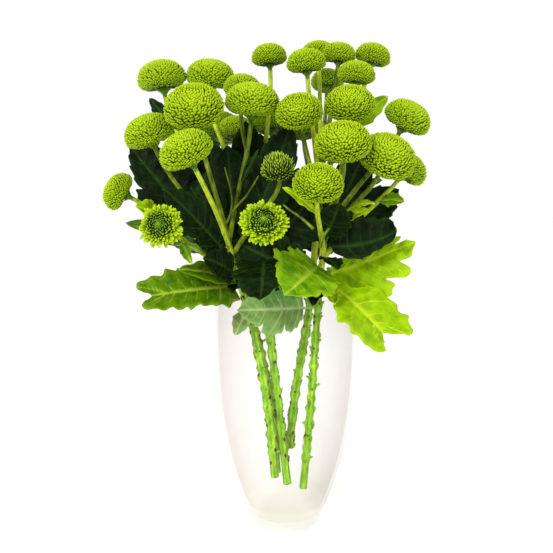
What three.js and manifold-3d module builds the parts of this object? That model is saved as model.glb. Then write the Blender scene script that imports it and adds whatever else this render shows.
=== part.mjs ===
// Chrysanthemums in a jar: five sprays of green button chrysanthemums standing in water in a tall clear glass
// vase. Millimetres, +Z up. The origin is the centre of the vase's flat base, +X is the viewer's right and -Y
// faces the viewer. A direction is a turn from +X towards +Y with a rise above the horizontal, in degrees.
import * as THREE from "three";
import { ConvexHull } from "three/addons/math/ConvexHull.js";
import { mergeVertices } from "three/addons/utils/BufferGeometryUtils.js";
import Module from "manifold-3d";

const wasm = await Module();
wasm.setup();

// Driving dimensions
const vaseHeight = 205;
const vaseBelly = 61; // widest outer radius
const vaseFoot = 28; // outer radius where the side meets the base
const wall = 3;
const baseThickness = 9;
const waterLevel = 74;
const clearance = 0.3; // between pieces that touch on the real thing
const stemFoot = 3.5; // radius of a main stem at its cut end
const stemCrown = 2.7; // radius of a main stem at its last fork
const stalkStart = 2.3; // radius of a flower stalk at its fork
const stalkEnd = 1.8; // radius of a flower stalk under its calyx
const calyxDepth = 0.3; // calyx sizes are shares of its bloom's radius
const calyxWidth = 0.42;
const leafThickness = 0.9;
const bractThickness = 0.8;
const leafGap = 0.85; // from a stem's surface to the middle of a leaf's foot
const roundSides = 32; // facets round the vase and the water

const rad = THREE.MathUtils.degToRad;
const point = (x, y, z) => new THREE.Vector3(x, y, z);

// Outer side of the vase: radius as a share of the belly, height as a share of the vase
const vaseSide = [[0.607, 0.1], [0.76, 0.23], [0.88, 0.38], [0.965, 0.56], [1, 0.78], [0.993, 1]];

// Main stems: name, cut end, a point half way up the glass, the crossing of the rim, the last fork
const stems = [
  ["stem_a", [-9, -7, 42], [-15, -9, 105], [-30, -14, 187], [-47, -22, 246]],
  ["stem_b", [-7, 9, 40], [-13, 8, 105], [-31, 6, 187], [-58, 6, 252]],
  ["stem_c", [2, -5, 35], [-6, -2, 105], [-15, -4, 187], [-22, -10, 280]],
  ["stem_d", [4, 12, 62], [9, 14, 110], [21, 15, 187], [31, 24, 300]],
  ["stem_e", [16, -2, 30], [22, -6, 105], [27, -12, 187], [32, -22, 258]],
];

// Blooms: name, stem, height of the fork, centre of the head, radius, tilt from the vertical, turn, kind
const blooms = [
  ["bloom_01", "stem_b", 246, [-107, 26, 389], 20.5, 10, 180, "button"],
  ["bloom_02", "stem_c", 262, [-65, 32, 391], 20.5, 10, 300, "button"],
  ["bloom_03", "stem_a", 236, [-72, -45, 357], 23, 36, 262, "button"],
  ["bloom_04", "stem_c", 274, [-36, 14, 378], 16, 14, 60, "button"],
  ["bloom_05", "stem_a", 246, [-27, -20, 364], 21.5, 12, 290, "button"],
  ["bloom_06", "stem_b", 226, [-111, -25, 339], 20, 24, 215, "button"],
  ["bloom_07", "stem_a", 240, [-75, -80, 322], 20, 30, 215, "button"],
  ["bloom_08", "stem_c", 268, [-44, 42, 345], 16.5, 16, 100, "button"],
  ["bloom_09", "stem_c", 280, [-14, 30, 407], 15, 5, 150, "button"],
  ["bloom_10", "stem_e", 258, [10, -36, 354], 18.5, 36, 255, "button"],
  ["bloom_11", "stem_c", 278, [-13, 52, 352], 16, 20, 100, "button"],
  ["bloom_12", "stem_d", 288, [17, 4, 398], 16, 6, 200, "button"],
  ["bloom_13", "stem_d", 297, [29, 46, 412], 15, 8, 120, "button"],
  ["bloom_14", "stem_d", 295, [46, 20, 407], 14, 6, 0, "button"],
  ["bloom_15", "stem_d", 289, [76, 28, 407], 15, 14, 10, "button"],
  ["bloom_16", "stem_d", 280, [59, 2, 388], 15.5, 6, 0, "button"],
  ["bloom_17", "stem_d", 292, [40, 80, 392], 15, 22, 80, "button"],
  ["bloom_18", "stem_e", 250, [51, -26, 361], 20, 30, 262, "button"],
  ["bloom_19", "stem_e", 244, [43, -58, 329], 21.5, 30, 258, "button"],
  ["bloom_20", "stem_e", 250, [80, -42, 319], 23, 36, 300, "button"],
  ["bloom_21", "stem_e", 232, [103, -4, 310], 17, 40, 10, "button"],
  ["bloom_22", "stem_e", 254, [102, -4, 352], 19.5, 30, 335, "button"],
  ["bloom_23", "stem_e", 242, [23, -85, 298], 18.5, 34, 272, "button"],
  ["bloom_24", "stem_a", 236, [-7, -52, 311], 12.5, 34, 255, "young"],
  ["bloom_25", "stem_c", 240, [-17, -90, 269], 18.5, 62, 270, "open"],
  ["bloom_26", "stem_b", 204, [-94, -82, 266], 17.5, 76, 262, "open"],
  ["bloom_27", "stem_b", 222, [-136, -30, 291], 15.5, 62, 190, "button"],
  ["bloom_28", "stem_b", 250, [-88, 44, 346], 16.5, 24, 150, "button"],
  ["bloom_29", "stem_d", 270, [16, 44, 346], 15, 20, 100, "button"],
  ["bloom_30", "stem_b", 252, [-60, 80, 348], 20, 32, 105, "button"],
  ["bloom_31", "stem_d", 262, [80, 62, 322], 20, 34, 45, "button"],
];

// Each kind of head, in shares of its radius: its rise over the widest line, the drop under it, how far the
// florets stand out and how far they lean up to the top; then how many florets
const kinds = {
  button: { rise: 0.8, drop: 0.44, lift: 0.1, lean: 0.06, florets: 32 },
  open: { rise: 0.45, drop: 0.36, lift: 0.16, lean: -0.04, florets: 38 },
  young: { rise: 0.95, drop: 0.5, lift: 0.18, lean: 0.1, florets: 30 },
};

// Leaves: name, stem, height of the node, tip, width, arch, direction of the upper side as turn and rise,
// outline, colour
const leaves = [
  ["leaf_01", "stem_a", 212, [-117, -52, 211], 46, 30, 268, 44, "lobed", "bright"],
  ["leaf_02", "stem_b", 240, [-133, 11, 329], 56, 12, 268, 20, "lobed", "dark"],
  ["leaf_03", "stem_a", 235, [-98, -39, 293], 36, 24, 240, 50, "lobed", "dark"],
  ["leaf_04", "stem_a", 222, [-66, -46, 238], 32, 40, 258, 30, "lobed", "dark"],
  ["leaf_05", "stem_e", 193, [-40, -34, 194], 44, 24, 268, 6, "lobed", "pale"],
  ["leaf_06", "stem_c", 232, [-20, -74, 206], 52, 60, 262, 24, "lobed", "dark"],
  ["leaf_07", "stem_e", 230, [-2, -76, 212], 58, 50, 265, 20, "lobed", "mid"],
  ["leaf_08", "stem_e", 246, [94, -30, 261], 46, 32, 283, 14, "lobed", "dark"],
  ["leaf_09", "stem_d", 213, [108, -18, 249], 60, 28, 278, 16, "hand", "bright"],
  ["leaf_10", "stem_e", 218, [86, -57, 168], 60, 44, 298, 40, "wide", "bright"],
  ["leaf_11", "stem_e", 250, [42, -50, 282], 32, 20, 275, 20, "lobed", "dark"],
  ["leaf_12", "stem_a", 222, [-49, 1, 329], 58, 8, 266, -1, "lobed", "dark"],
  ["leaf_13", "stem_a", 229, [5, 2, 346], 40, 33, 274, 7, "lobed", "dark"],
  ["leaf_14", "stem_b", 220, [-91, 49, 288], 46, 30, 259, 60, "lobed", "dark"],
  ["leaf_15", "stem_d", 244, [68, 25, 321], 54, 20, 284, -1, "lobed", "dark"],
  ["leaf_16", "stem_d", 235, [98, 12, 292], 44, 30, 290, 30, "lobed", "dark"],
  ["leaf_17", "stem_b", 212, [-110, 66, 240], 48, 50, 110, 40, "lobed", "dark"],
  ["leaf_18", "stem_d", 222, [48, 96, 262], 50, 50, 70, 40, "lobed", "dark"],
  ["leaf_19", "stem_c", 212, [-18, 84, 232], 50, 56, 90, 40, "lobed", "mid"],
  ["leaf_20", "stem_d", 208, [84, 66, 208], 48, 50, 50, 50, "lobed", "bright"],
  ["leaf_21", "stem_c", 236, [26, 8, 290], 56, 20, 268, 6, "lobed", "dark"],
  ["leaf_22", "stem_b", 239, [-82, 50, 297], 46, 6, 283, 16, "lobed", "dark"],
];
// Leaves whose two hands differ: the share of the width on each
const handShares = { leaf_08: [0.5, 1.15], leaf_09: [1.15, 0.5] };

// Bracts, the small leaves fused to the stalk of a bloom or to a main stem: host, share of its length, tip,
// width, direction of the upper side as turn and rise
const bracts = [
  ["bloom_23", 0.75, [-3, -72, 294], 10, 270, 40],
  ["bloom_15", 0.5, [88, 20, 371], 18, 265, 20],
  ["bloom_01", 0.75, [-114, 24, 368], 9, 200, 40],
  ["bloom_21", 0.75, [97, -22, 282], 15, 300, 20],
  ["bloom_26", 0.5, [-84, -64, 250], 10, 200, 60],
  ["bloom_26", 0.75, [-72, -70, 236], 10, 250, 10],
  ["bloom_27", 0.75, [-119, -44, 279], 17, 265, 20],
  ["bloom_31", 0.5, [88, 44, 300], 14, 60, 40],
  ["bloom_30", 0.5, [-70, 74, 304], 14, 110, 40],
  ["bloom_20", 0.5, [70, -44, 281], 9, 290, 30],
  ["bloom_05", 0.5, [-22, -30, 324], 8, 280, 20],
  ["stem_e", 0.8, [20, -66, 203], 16, 270, 40],
  ["stem_e", 0.81, [38, -60, 203], 18, 285, 60],
  ["stem_e", 0.9, [40, -56, 230], 20, 290, 40],
];

// Unopened bud beside a bloom: host, share of its stalk's length, tip, radius
const buds = [["bloom_27", 0.5, [-125, -52, 266], 4.6]];

// Stubs of stripped leaves on the bare stem in the glass
const stubs = { count: 4, length: 5, radius: 1.7, lowest: 84, highest: 176 };

const colours = {
  glass: 0xf4f1ec,
  water: 0xeeeede,
  stalk: 0x8fb53a,
  floret: 0xa9c81f,
  young: 0x4f8a1d,
  bright: 0x8fbf14,
  mid: 0x4d8417,
  dark: 0x1f4a17,
  pale: 0x8fb06a,
};

// A repeatable random number between 0 and 1
function seeded(seed) {
  let state = seed;
  return () => {
    state = (state * 1664525 + 1013904223) % 4294967296;
    return state / 4294967296;
  };
}

// Unit vector of a direction given by its turn and its rise
function heading(turn, rise) {
  const flat = Math.cos(rad(rise));
  return point(flat * Math.cos(rad(turn)), flat * Math.sin(rad(turn)), Math.sin(rad(rise)));
}

// Closed solid from vertices and triangles
function solid(vertices, triangles) {
  const mesh = new wasm.Mesh({
    numProp: 3,
    vertProperties: new Float32Array(vertices.flatMap((v) => [v.x, v.y, v.z])),
    triVerts: new Uint32Array(triangles.flat()),
  });
  return new wasm.Manifold(mesh);
}

// Three.js geometry from a solid
function geometryOf(shape) {
  const { numProp, vertProperties, triVerts } = shape.getMesh();
  const positions = new Float32Array(triVerts.length * 3);
  triVerts.forEach((v, i) => positions.set(vertProperties.subarray(v * numProp, v * numProp + 3), i * 3));
  const geometry = new THREE.BufferGeometry();
  geometry.setAttribute("position", new THREE.BufferAttribute(positions, 3));
  geometry.computeVertexNormals();
  return geometry;
}

function material(colour, roughness, opacity = 1) {
  return new THREE.MeshStandardMaterial({
    color: colour,
    roughness,
    metalness: 0,
    opacity,
    transparent: opacity < 1,
  });
}

const group = new THREE.Group();

function add(name, geometry, look) {
  const mesh = new THREE.Mesh(geometry, look);
  mesh.name = name;
  group.add(mesh);
  return mesh;
}

// Turned shape about +Z, from a profile of [radius, height] that starts and ends on the axis
function turned(profile) {
  const outline = profile.map(([r, z]) => new THREE.Vector2(r, z));
  const lathe = new THREE.LatheGeometry(outline, roundSides).rotateX(Math.PI / 2);
  lathe.deleteAttribute("normal");
  lathe.deleteAttribute("uv");
  const merged = mergeVertices(lathe, 1e-4);
  const mesh = new wasm.Mesh({
    numProp: 3,
    vertProperties: merged.getAttribute("position").array,
    triVerts: new Uint32Array(merged.index.array),
  });
  return new wasm.Manifold(mesh);
}

// Tube with flat ends through a row of points, with a radius at each. Its sides keep their turn all along.
function sweep(path, radii, sides) {
  const last = path.length - 1;
  const vertices = [path[0], path[last]];
  const triangles = [];
  let across = point(1, 0.3, 0.1);
  path.forEach((centre, i) => {
    const along = path[Math.min(i + 1, last)].clone().sub(path[Math.max(i - 1, 0)]).normalize();
    across = across.clone().addScaledVector(along, -across.dot(along)).normalize();
    const side = along.clone().cross(across);
    for (let j = 0; j < sides; j++) {
      const angle = (2 * Math.PI * j) / sides;
      const rim = centre.clone().addScaledVector(across, radii[i] * Math.cos(angle));
      vertices.push(rim.addScaledVector(side, radii[i] * Math.sin(angle)));
    }
  });
  const ring = (i, j) => 2 + i * sides + (j % sides);
  for (let j = 0; j < sides; j++) {
    triangles.push([0, ring(0, j + 1), ring(0, j)], [1, ring(last, j), ring(last, j + 1)]);
    for (let i = 0; i < last; i++) {
      triangles.push([ring(i, j), ring(i, j + 1), ring(i + 1, j + 1)]);
      triangles.push([ring(i, j), ring(i + 1, j + 1), ring(i + 1, j)]);
    }
  }
  return solid(vertices, triangles);
}

// Radii that run evenly from one value to another
function taper(from, to, count) {
  return Array.from({ length: count }, (_, i) => THREE.MathUtils.lerp(from, to, i / (count - 1)));
}

function innerSide(gap) {
  const side = vaseSide.map(([r, h]) => [r * vaseBelly - wall - gap, h * vaseHeight]);
  return [[vaseFoot - wall - gap, baseThickness + gap], ...side];
}

function makeVase() {
  const outer = vaseSide.map(([r, h]) => [r * vaseBelly, h * vaseHeight]);
  const inner = innerSide(0).reverse();
  return turned([[0, 0], [vaseFoot, 0], [vaseFoot + 2, 3], ...outer, ...inner, [0, baseThickness]]);
}

// The water fills the foot of the vase up to its level, with a plain hole for each stem
function makeWater() {
  const side = innerSide(clearance);
  const above = side.findIndex(([, z]) => z > waterLevel);
  const [[r0, z0], [r1, z1]] = [side[above - 1], side[above]];
  const edge = THREE.MathUtils.mapLinear(waterLevel, z0, z1, r0, r1);
  const body = turned([[0, side[0][1]], ...side.slice(0, above), [edge, waterLevel], [0, waterLevel]]);
  return stems.reduce((water, [name]) => water.subtract(makeHole(name)), body);
}

// Main stems as curves
const stemCurves = new Map(
  stems.map(([name, ...marks]) => [name, new THREE.CatmullRomCurve3(marks.map((mark) => point(...mark)))]),
);

// Point of a main stem at a height, with the stem's direction and radius there
function stemAt(name, height) {
  const curve = stemCurves.get(name);
  let low = 0;
  let high = 1;
  while (high - low > 1e-6) {
    const half = (low + high) / 2;
    if (curve.getPointAt(half).z < height) low = half;
    else high = half;
  }
  return {
    place: curve.getPointAt(low),
    along: curve.getTangentAt(low),
    radius: THREE.MathUtils.lerp(stemFoot, stemCrown, low),
  };
}

// Hole in the water round a stem: it starts just under the cut end and runs out through the surface
function makeHole(name) {
  const curve = stemCurves.get(name);
  const path = [0, 0.1, 0.2, 0.3, 0.4].map((share) => curve.getPointAt(share));
  path[0].addScaledVector(curve.getTangentAt(0), -clearance);
  return sweep(path, taper(stemFoot + 2 * clearance, stemFoot + 2 * clearance, path.length), 9);
}

// Each bloom's stalk: it leaves its fork leaning up and arrives along the bloom's own axis
const stalks = new Map(
  blooms.map(([name, stem, fork, centre, radius, tilt, turn, kind]) => {
    const { rise, drop } = kinds[kind];
    const axis = heading(turn, 90 - tilt);
    const seat = point(...centre).addScaledVector(axis, (-radius * (rise + drop)) / 2);
    const start = stemAt(stem, fork).place;
    const end = seat.clone().addScaledVector(axis, -calyxDepth * radius);
    const reach = start.distanceTo(end);
    const lean = end.clone().sub(start).normalize().add(point(0, 0, 0.45)).normalize();
    const leave = start.clone().addScaledVector(lean, reach * 0.3);
    const arrive = end.clone().addScaledVector(axis, -reach * 0.24);
    return [name, { curve: new THREE.CubicBezierCurve3(start, leave, arrive, end), seat, axis }];
  }),
);

// A stalk and the green cup at its end, whose top stays just under the bloom
function makeStalk(name, radius) {
  const { curve, seat, axis } = stalks.get(name);
  const path = curve.getSpacedPoints(4);
  const radii = taper(stalkStart, stalkEnd, path.length);
  const cup = [[0.6, 0.8], [0.2, 1], [0, 0.9]]; // shares of its depth and width
  for (const [deep, wide] of cup) {
    path.push(seat.clone().addScaledVector(axis, -clearance - deep * (calyxDepth * radius - clearance)));
    radii.push(wide * calyxWidth * radius);
  }
  return sweep(path, radii, 5);
}

// Half outlines of a blade: place along the rib, then the edge point's place along the leaf and its share of
// half the width
const lobedEdge = [
  [0, 0, 0.03],
  [0.16, 0.16, 0.04],
  [0.21, 0.2, 0.36],
  [0.27, 0.3, 0.74],
  [0.33, 0.42, 0.86],
  [0.38, 0.42, 0.5],
  [0.45, 0.5, 0.84],
  [0.52, 0.62, 1],
  [0.57, 0.71, 0.88],
  [0.62, 0.68, 0.46],
  [0.71, 0.77, 0.58],
  [0.8, 0.87, 0.5],
  [0.88, 0.9, 0.28],
  [1, 1, 0],
];
// Three long lobes that spread from the end of a petiole
const handEdge = [
  [0, 0, 0.03],
  [0.16, 0.16, 0.04],
  [0.24, 0.2, 0.34],
  [0.3, 0.38, 0.66],
  [0.37, 0.6, 0.96],
  [0.4, 0.68, 0.98],
  [0.46, 0.73, 0.76],
  [0.5, 0.66, 0.56],
  [0.58, 0.82, 0.64],
  [0.62, 0.88, 0.58],
  [0.7, 0.83, 0.3],
  [0.84, 0.92, 0.27],
  [1, 1, 0],
];
// Small lobes at the foot, then a broad blade that ends in two big tips
const wideEdge = [
  [0, 0, 0.03],
  [0.14, 0.14, 0.04],
  [0.22, 0.2, 0.34],
  [0.26, 0.28, 0.3],
  [0.35, 0.38, 0.72],
  [0.45, 0.53, 0.94],
  [0.55, 0.69, 1],
  [0.6, 0.74, 0.88],
  [0.66, 0.83, 0.92],
  [0.75, 0.98, 0.72],
  [0.78, 1, 0.5],
  [0.815, 0.9, 0.26],
  [0.835, 0.835, 0],
];
const leafEdges = { lobed: lobedEdge, hand: handEdge, wide: wideEdge };
const bractEdge = [
  [0, 0, 0.2],
  [0.3, 0.3, 0.75],
  [0.6, 0.6, 1],
  [0.85, 0.85, 0.55],
  [1, 1, 0],
];

// A blade from its base at the origin to its tip on +X, with its upper side to +Z. It is arched from base to
// tip, folded a little along its rib and waved at its edges, and both faces have the same triangles. Each
// hand takes its own share of the width.
function makeBlade(edge, reach, width, arch, thickness, fold, wave, hands = [1, 1]) {
  const bend = rad(arch);
  const length = (reach * bend) / 2 / Math.sin(bend / 2);
  const place = (along, side, face) => {
    const slope = bend * (0.5 - along);
    const x = (length / bend) * (Math.sin(bend / 2) - Math.sin(slope));
    const z = (length / bend) * (Math.cos(slope) - Math.cos(bend / 2));
    const ripple = wave * side * side * Math.sin(14 * along + 2 * side);
    const lift = width * (fold * Math.abs(side) + ripple) + (face * thickness) / 2;
    return point(x - lift * Math.sin(slope), (side * width) / 2, z + lift * Math.cos(slope));
  };
  const vertices = [];
  const last = edge.length - 1;
  const ribs = new Map();
  const rims = new Map();
  for (const face of [-1, 1]) {
    edge.forEach(([ribAlong, along, side], i) => {
      ribs.set(`${i},${face}`, vertices.push(place(ribAlong, 0, face)) - 1);
      for (const hand of [-1, 1]) {
        const out = hand * side * hands[hand < 0 ? 0 : 1];
        const tip = ribs.get(`${i},${face}`);
        rims.set(`${hand},${i},${face}`, i === last ? tip : vertices.push(place(along, out, face)) - 1);
      }
    });
  }
  const rib = (i, face) => ribs.get(`${i},${face}`);
  const rim = (hand, i, face) => rims.get(`${hand},${i},${face}`);
  const triangles = [];
  const put = (a, b, c, flip) => {
    if (a !== b && b !== c && a !== c) triangles.push(flip ? [a, c, b] : [a, b, c]);
  };
  for (const hand of [-1, 1]) {
    for (let i = 0; i < last; i++) {
      for (const face of [-1, 1]) {
        const flip = hand * face < 0;
        put(rib(i, face), rib(i + 1, face), rim(hand, i, face), flip);
        put(rib(i + 1, face), rim(hand, i + 1, face), rim(hand, i, face), flip);
      }
      put(rim(hand, i, -1), rim(hand, i + 1, 1), rim(hand, i, 1), hand > 0);
      put(rim(hand, i, -1), rim(hand, i + 1, -1), rim(hand, i + 1, 1), hand > 0);
    }
    put(rib(0, -1), rim(hand, 0, -1), rim(hand, 0, 1), hand > 0);
    put(rib(0, -1), rim(hand, 0, 1), rib(0, 1), hand > 0);
  }
  return solid(vertices, triangles);
}

// Rotation that lays a blade from its base towards its tip, with its upper side turned as near as it can to a
// direction
function bladeTurn(base, tip, upper) {
  const along = tip.clone().sub(base).normalize();
  const side = upper.clone().cross(along).normalize();
  return new THREE.Quaternion().setFromRotationMatrix(
    new THREE.Matrix4().makeBasis(along, side, along.clone().cross(side)),
  );
}

function makeBract(curve, share, tip, width, upper) {
  const base = curve.getPointAt(share);
  const blade = makeBlade(bractEdge, base.distanceTo(tip), width, 30, bractThickness, 0.1, 0.02);
  const matrix = new THREE.Matrix4().compose(base, bladeTurn(base, tip, upper), point(1, 1, 1));
  return blade.transform(matrix.elements);
}

// An egg-shaped bud on its own short stalk
function makeBud(curve, share, tip, radius) {
  const base = curve.getPointAt(share);
  const along = tip.clone().sub(base);
  const reach = along.length();
  const foot = reach - 2.4 * radius;
  const rings = [[0, 1.2], [foot, 1], [foot + 0.6 * radius, radius], [foot + 1.6 * radius, radius]];
  const path = [...rings.map(([far]) => base.clone().addScaledVector(along, far / reach)), tip];
  return sweep(path, [...rings.map(([, r]) => r), radius * 0.3], 6);
}

function makeStub(name, height, turn) {
  const { place, radius } = stemAt(name, height);
  const end = place.clone().addScaledVector(heading(turn, 40), radius + stubs.length);
  return sweep([place, end], [stubs.radius, stubs.radius * 0.7], 3);
}

// A main stem with its stalks, calyxes, bracts, bud and stubs as one body
function makeStem(name, seed) {
  const curves = new Map([[name, stemCurves.get(name)]]);
  const path = stemCurves.get(name).getSpacedPoints(11);
  const pieces = [sweep(path, taper(stemFoot, stemCrown, path.length), 7)];
  for (const [bloom, stem, , , radius] of blooms) {
    if (stem !== name) continue;
    curves.set(bloom, stalks.get(bloom).curve);
    pieces.push(makeStalk(bloom, radius));
  }
  for (const [host, share, tip, width, turn, rise] of bracts) {
    if (!curves.has(host)) continue;
    pieces.push(makeBract(curves.get(host), share, point(...tip), width, heading(turn, rise)));
  }
  for (const [host, share, tip, radius] of buds) {
    if (curves.has(host)) pieces.push(makeBud(curves.get(host), share, point(...tip), radius));
  }
  const random = seeded(seed);
  for (let i = 0; i < stubs.count; i++) {
    const height = THREE.MathUtils.lerp(stubs.lowest, stubs.highest, (i + 0.7 * random()) / stubs.count);
    pieces.push(makeStub(name, height, 360 * random()));
  }
  return wasm.Manifold.union(pieces);
}

// A flower head, seated at its own origin and facing +Z. The florets lie on a golden-angle spiral over the
// head. Each stands out as a peak between valleys, which are the middles of the triangles between it and its
// neighbours.
function makeHead(radius, kind, seed) {
  const { rise, drop, lift, lean, florets } = kinds[kind];
  const random = seeded(seed);
  const lowest = rad(152); // angle from the top to the last floret
  const goldenAngle = Math.PI * (3 - Math.sqrt(5));
  const middle = -drop * Math.cos(lowest);
  const footRadius = 0.36;
  const footSides = 8;
  const onHead = (fall, turn) => {
    const deep = Math.cos(fall) > 0 ? rise : drop;
    const out = Math.sin(fall);
    return point(out * Math.cos(turn), out * Math.sin(turn), middle + deep * Math.cos(fall));
  };
  const base = [];
  for (let k = 0; k < florets; k++) {
    const share = ((k + 0.5) / florets) ** 1.1;
    base.push(onHead(Math.acos(1 - share * (1 - Math.cos(lowest))), k * goldenAngle));
  }
  for (let j = 0; j < footSides; j++) {
    const turn = (2 * Math.PI * j) / footSides;
    base.push(point(footRadius * Math.cos(turn), footRadius * Math.sin(turn), 0));
  }
  const isFloret = (i) => i < florets;
  const centre = point(0, 0, middle);
  const vertices = base.map((p, i) => {
    if (!isFloret(i)) return p.clone();
    const tip = p.clone().addScaledVector(p.clone().sub(centre).normalize(), lift * (0.8 + 0.4 * random()));
    tip.z = Math.max(tip.z + lean * (1 - p.z / (middle + rise)), 0.02);
    return tip;
  });
  const faces = new ConvexHull().setFromPoints(base).faces.map(({ edge }) => {
    return [edge, edge.next, edge.next.next].map((corner) => base.indexOf(corner.head().point));
  });
  const valleys = faces.map((corners) => {
    if (!corners.some(isFloret)) return -1;
    const bottom = corners.reduce((sum, i) => sum.add(base[i]), point(0, 0, 0)).divideScalar(3);
    const sink = corners.every(isFloret) ? 0.93 : 1;
    return vertices.push(centre.clone().lerp(bottom, sink)) - 1;
  });
  const faceOf = new Map();
  faces.forEach((corners, f) => corners.forEach((a, n) => faceOf.set(`${a},${corners[(n + 1) % 3]}`, f)));
  const triangles = [];
  faces.forEach((corners, f) => {
    if (valleys[f] < 0) {
      triangles.push(corners);
      return;
    }
    corners.forEach((a, n) => {
      const b = corners[(n + 1) % 3];
      const opposite = valleys[faceOf.get(`${b},${a}`)];
      triangles.push(isFloret(a) && isFloret(b) ? [a, opposite, valleys[f]] : [a, b, valleys[f]]);
    });
  });
  return solid(vertices.map((v) => v.multiplyScalar(radius)), triangles);
}

add("vase", geometryOf(makeVase()), material(colours.glass, 0.08, 0.35));
add("water", geometryOf(makeWater()), material(colours.water, 0.05, 0.5));

stems.forEach(([name], i) => add(name, geometryOf(makeStem(name, 5 + i)), material(colours.stalk, 0.5)));

blooms.forEach(([name, , , , radius, , , kind], i) => {
  const { seat, axis } = stalks.get(name);
  const look = material(kind === "young" ? colours.young : colours.floret, 0.6);
  const head = add(name, geometryOf(makeHead(radius, kind, 11 + i)), look);
  head.position.copy(seat);
  head.quaternion.setFromUnitVectors(point(0, 0, 1), axis);
});

for (const [name, stem, height, mark, width, arch, turn, rise, outline, colour] of leaves) {
  const { place, along, radius } = stemAt(stem, height);
  const tip = point(...mark);
  const out = tip.clone().sub(place).projectOnPlane(along).normalize();
  const base = place.addScaledVector(out, radius + leafGap);
  const edge = leafEdges[outline];
  const reach = base.distanceTo(tip);
  const blade = makeBlade(edge, reach, width, arch, leafThickness, 0.1, 0.04, handShares[name]);
  const leaf = add(name, geometryOf(blade), material(colours[colour], 0.45));
  leaf.position.copy(base);
  leaf.quaternion.copy(bladeTurn(base, tip, heading(turn, rise)));
}

export default group;
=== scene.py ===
# Green button chrysanthemums standing in a clear tapered glass vase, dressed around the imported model.
# Tables are in millimetres in the model's own frame: +X is the viewer's right, -Y faces the viewer, +Z is up.
import functools
import math

import bpy
import numpy as np
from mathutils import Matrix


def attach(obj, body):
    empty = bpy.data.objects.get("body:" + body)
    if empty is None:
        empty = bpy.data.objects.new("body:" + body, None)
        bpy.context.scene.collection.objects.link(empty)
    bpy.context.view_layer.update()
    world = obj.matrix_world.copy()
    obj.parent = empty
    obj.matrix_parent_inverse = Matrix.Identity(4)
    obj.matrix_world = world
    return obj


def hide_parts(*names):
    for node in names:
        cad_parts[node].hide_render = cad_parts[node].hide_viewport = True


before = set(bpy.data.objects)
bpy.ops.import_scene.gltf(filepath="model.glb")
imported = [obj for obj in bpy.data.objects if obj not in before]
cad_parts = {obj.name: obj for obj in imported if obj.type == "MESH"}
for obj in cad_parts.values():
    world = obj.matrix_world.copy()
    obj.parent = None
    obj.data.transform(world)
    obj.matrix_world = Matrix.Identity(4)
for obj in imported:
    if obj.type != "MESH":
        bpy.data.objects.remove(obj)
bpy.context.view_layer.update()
print("model loaded")

# Camera at the photograph's height, distance and tilt, in metres and degrees
view = {"place": (-0.00757, -0.650, 0.2971), "tilt": 83.03, "lens": 49.78, "sensor": 36, "nearest": 0.01}
lensData = bpy.data.cameras.new("camera")
lensData.lens = view["lens"]
lensData.sensor_width = view["sensor"]
lensData.clip_start = view["nearest"]
camera = bpy.data.objects.new("camera", lensData)
camera.location = view["place"]
camera.rotation_euler = (math.radians(view["tilt"]), 0, 0)
bpy.context.scene.collection.objects.link(camera)
bpy.context.scene.camera = camera
facesSeenThrough = 24  # layers of glass and water that a look through the vase may meet
bpy.context.scene.cycles.transparent_max_bounces = facesSeenThrough
bpy.context.scene.view_settings.view_transform = "Standard"  # keeps the greens bright
millimetre = 0.001


# sRGB hex to linear: c / 12.92 up to 0.04045, and ((c + 0.055) / 1.055) to the power 2.4 above it
def linear(code):
    parts = [int(code[i : i + 2], 16) / 255 for i in (1, 3, 5)]
    return [c / 12.92 if c <= 0.04045 else ((c + 0.055) / 1.055) ** 2.4 for c in parts] + [1.0]


# Adds a node. settings name its properties or sockets,
# and links the sockets that other nodes or outputs feed.
def addNode(tree, kind, settings=None, links=None):
    node = tree.nodes.new("ShaderNode" + kind)
    for key, value in (settings or {}).items():
        if key == "stops":
            ramp = node.color_ramp
            while len(ramp.elements) < len(value):
                ramp.elements.new(0.5)
            for stop, (place, code) in zip(ramp.elements, value):
                stop.position = place
                stop.color = linear(code)
        elif isinstance(key, str) and hasattr(node, key):
            setattr(node, key, value)
        else:
            node.inputs[key].default_value = value
    for key, source in (links or {}).items():
        tree.links.new(getattr(source, "outputs", [source])[0], node.inputs[key])
    return node


# An empty material, what adds nodes to it, and the place on the object that its patterns read
def newMaterial(name):
    material = bpy.data.materials.new(name)
    material.use_nodes = True
    material.node_tree.nodes.clear()
    add = functools.partial(addNode, material.node_tree)
    return material, add, add("TexCoord").outputs["Object"]


# Ends a material with its surface shader and its output. settings are constants, on the shader's own sockets.
def closeMaterial(add, settings, links):
    add("OutputMaterial", None, {0: add("BsdfPrincipled", settings, links)})


# Vectors of length one
def unit(v):
    return v / np.linalg.norm(v, axis=-1, keepdims=True)


# Direction from its turn round +Z and its rise above the horizontal, in degrees
def heading(turn, rise):
    turn, rise = np.radians(turn), np.radians(rise)
    return np.stack([np.cos(rise) * np.cos(turn), np.cos(rise) * np.sin(turn), np.sin(rise)], -1)


# Angles of a full turn in count even steps
def evenTurns(count):
    return np.linspace(0, 2 * math.pi, count, endpoint=False)


# Two axes square to a direction and to each other
def squareTo(axis):
    first = unit(np.cross(axis, [0.31, 0.88, 0.36]))
    return first, np.cross(axis, first)


# Directions at some angles round a line, from two axes square to it: first x cos + second x sin
def around(angles, first, second):
    return first * np.cos(angles)[:, None] + second * np.sin(angles)[:, None]


# Distance along a path at each of its points
def distances(path):
    return np.concatenate([[0], np.cumsum(np.linalg.norm(np.diff(path, axis=0), axis=1))])


# Point of a path at a place that is counted in its points
def pointAt(path, i):
    return np.array([np.interp(i, np.arange(len(path)), path[:, a]) for a in range(3)])


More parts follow.
